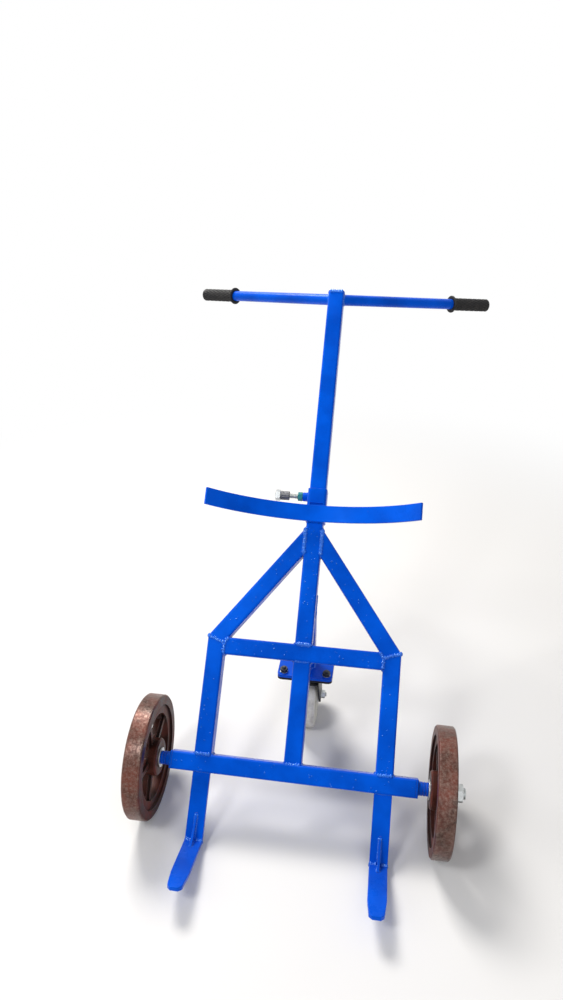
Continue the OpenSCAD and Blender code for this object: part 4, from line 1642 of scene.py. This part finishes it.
@dataclass
class Studio:
    """Floor in metres, soft light, and the camera at the photograph's angle, in millimetres and degrees."""

    stance: Stance
    eye: Point = (159.0, -1196.0, 1511.0)
    pitch: float = 28.9
    yaw: float = 8.7
    focal_px: float = 760.0
    image_h: float = 1000.0
    sensor: float = 36.0
    ambient: float = 0.36
    floor_size: float = 40.0
    boxes: tuple[SoftBox, ...] = (
        SoftBox("key", (-1.4, 1.5, 3.3), (0, -0.1, 0.3), 1.3, 128, "#fffcf7"),
        SoftBox("front", (1.2, -3.0, 2.4), (0, -0.1, 0.4), 2.6, 26, "#f6f8ff"),
        SoftBox("side", (-3.0, -1.4, 1.8), (0, -0.1, 0.4), 1.8, 12),
        SoftBox("small", (-1.2, -1.9, 2.6), (0, -0.1, 0.4), 0.6, 28),
    )

    def camera(self) -> None:
        """Sets the camera where the photograph was taken."""
        lens = bpy.data.cameras.new("photo_camera")
        lens.sensor_fit, lens.sensor_height = "VERTICAL", self.sensor
        lens.lens = self.focal_px / self.image_h * self.sensor
        eye = bpy.data.objects.new("photo_camera", lens)
        eye.location = Vector(self.eye) * MM + Vector((0, self.stance.axle.y, 0))
        eye.rotation_euler = (radians(90 - self.pitch), 0, radians(self.yaw))
        bpy.context.collection.objects.link(eye)
        bpy.context.scene.camera = eye

    def floor(self) -> None:
        """Lays the pale floor."""
        bpy.ops.object.select_all(action="DESELECT")
        bpy.ops.mesh.primitive_plane_add(size=self.floor_size, location=(0, 0, 0))
        sheet = bpy.context.active_object
        sheet.name = "studio_floor"
        sheet.data.materials.append(StudioFloor("floor_paper", "#e6e5e4").build())

    def sky(self) -> None:
        """Sets an even world that the eye sees as white and that lights the object less."""
        world = bpy.data.worlds.new("studio")
        world.use_nodes = True
        bpy.context.scene.world = world
        tree = world.node_tree
        add = partial(add_node, tree)
        level = add("MapRange", [seen(add), 0.0, 1.0, self.ambient, 1.0])
        fill(tree, tree.nodes["Background"], {"Color": WHITE, "Strength": level})

    def build(self) -> None:
        """Sets floor, lamps, world and camera."""
        self.floor()
        for box in self.boxes:
            box.hang()
        self.sky()
        self.camera()
        bpy.context.scene.view_settings.view_transform = "Standard"


def main() -> None:
    """Builds the trolley's looks and the studio."""
    logging.basicConfig(level=logging.INFO, format="%(name)s: %(message)s")
    axle = joint_place("wheel_right_spin")
    stance = Stance(radians(LEAN), Vector((0, axle.y, axle.z)))
    paint = Enamel("blue_frame_enamel", "#0056d6", "#0044b6", gloss=0.3, tint="#3f8dff").coat("frame_paint")
    black = Enamel("black_caster_enamel", "#1a1b1f", "#141518", "#55504a", roughness=0.36).coat("caster_black")
    teal = Enamel("teal_nut_enamel", "#2b8788", "#226f74", "#8a8d8b", roughness=0.38).coat("nut_teal")
    # The sixth colour, near black, is painted shade for the wheels' recesses.
    oxide = OxidePaint("oxide_wheel_paint", "#652a1d", "#31160f", "#8d7a70", "#4a3026", "#120d0a",
                       tuple(axle)).coat("wheel_oxide")
    zinc = Metal("zinc_plate", "#c3c6c6", "#8f918c").coat("zinc_steel")
    steel = Metal("black_oxide_steel", "#4a4b4d", "#2c2a29", 0.42).coat("dark_steel")
    dark = Metal("grey_knob_steel", "#67686b", "#3b3a39", 0.45).coat("knob_grey")
    bronze = Metal("bush_bronze", "#b08a52", "#6d5432", 0.36).coat("bush_bronze")
    rubber = Rubber("grip_rubber", "#0d0c0e", "#4a4643").coat("grip_rubber")
    nylon = Nylon("caster_nylon", "#d8d6cd", "#857d70", tuple(joint_place("caster_wheel_spin"))).coat("caster_nylon")
    bead = Enamel("blue_weld_enamel", "#0664dc", "#004ec0", roughness=0.16, gloss=0.9, chip_level=5.0,
                  tint="#b4e0ff").coat("frame_paint")
    weld = WeldShop(stance, bead)
    TubeFrame(weld, paint).build()
    Handle(weld, rubber).build()
    Toes(weld, paint).build()
    RoadWheels(stance, paint, oxide, zinc, bronze).build()
    Saddle(weld, paint, zinc, teal, dark).build()
    Caster(weld, paint, black, zinc, steel, nylon, bronze).build()
    Studio(stance).build()


if __name__ == "__main__":
    main()
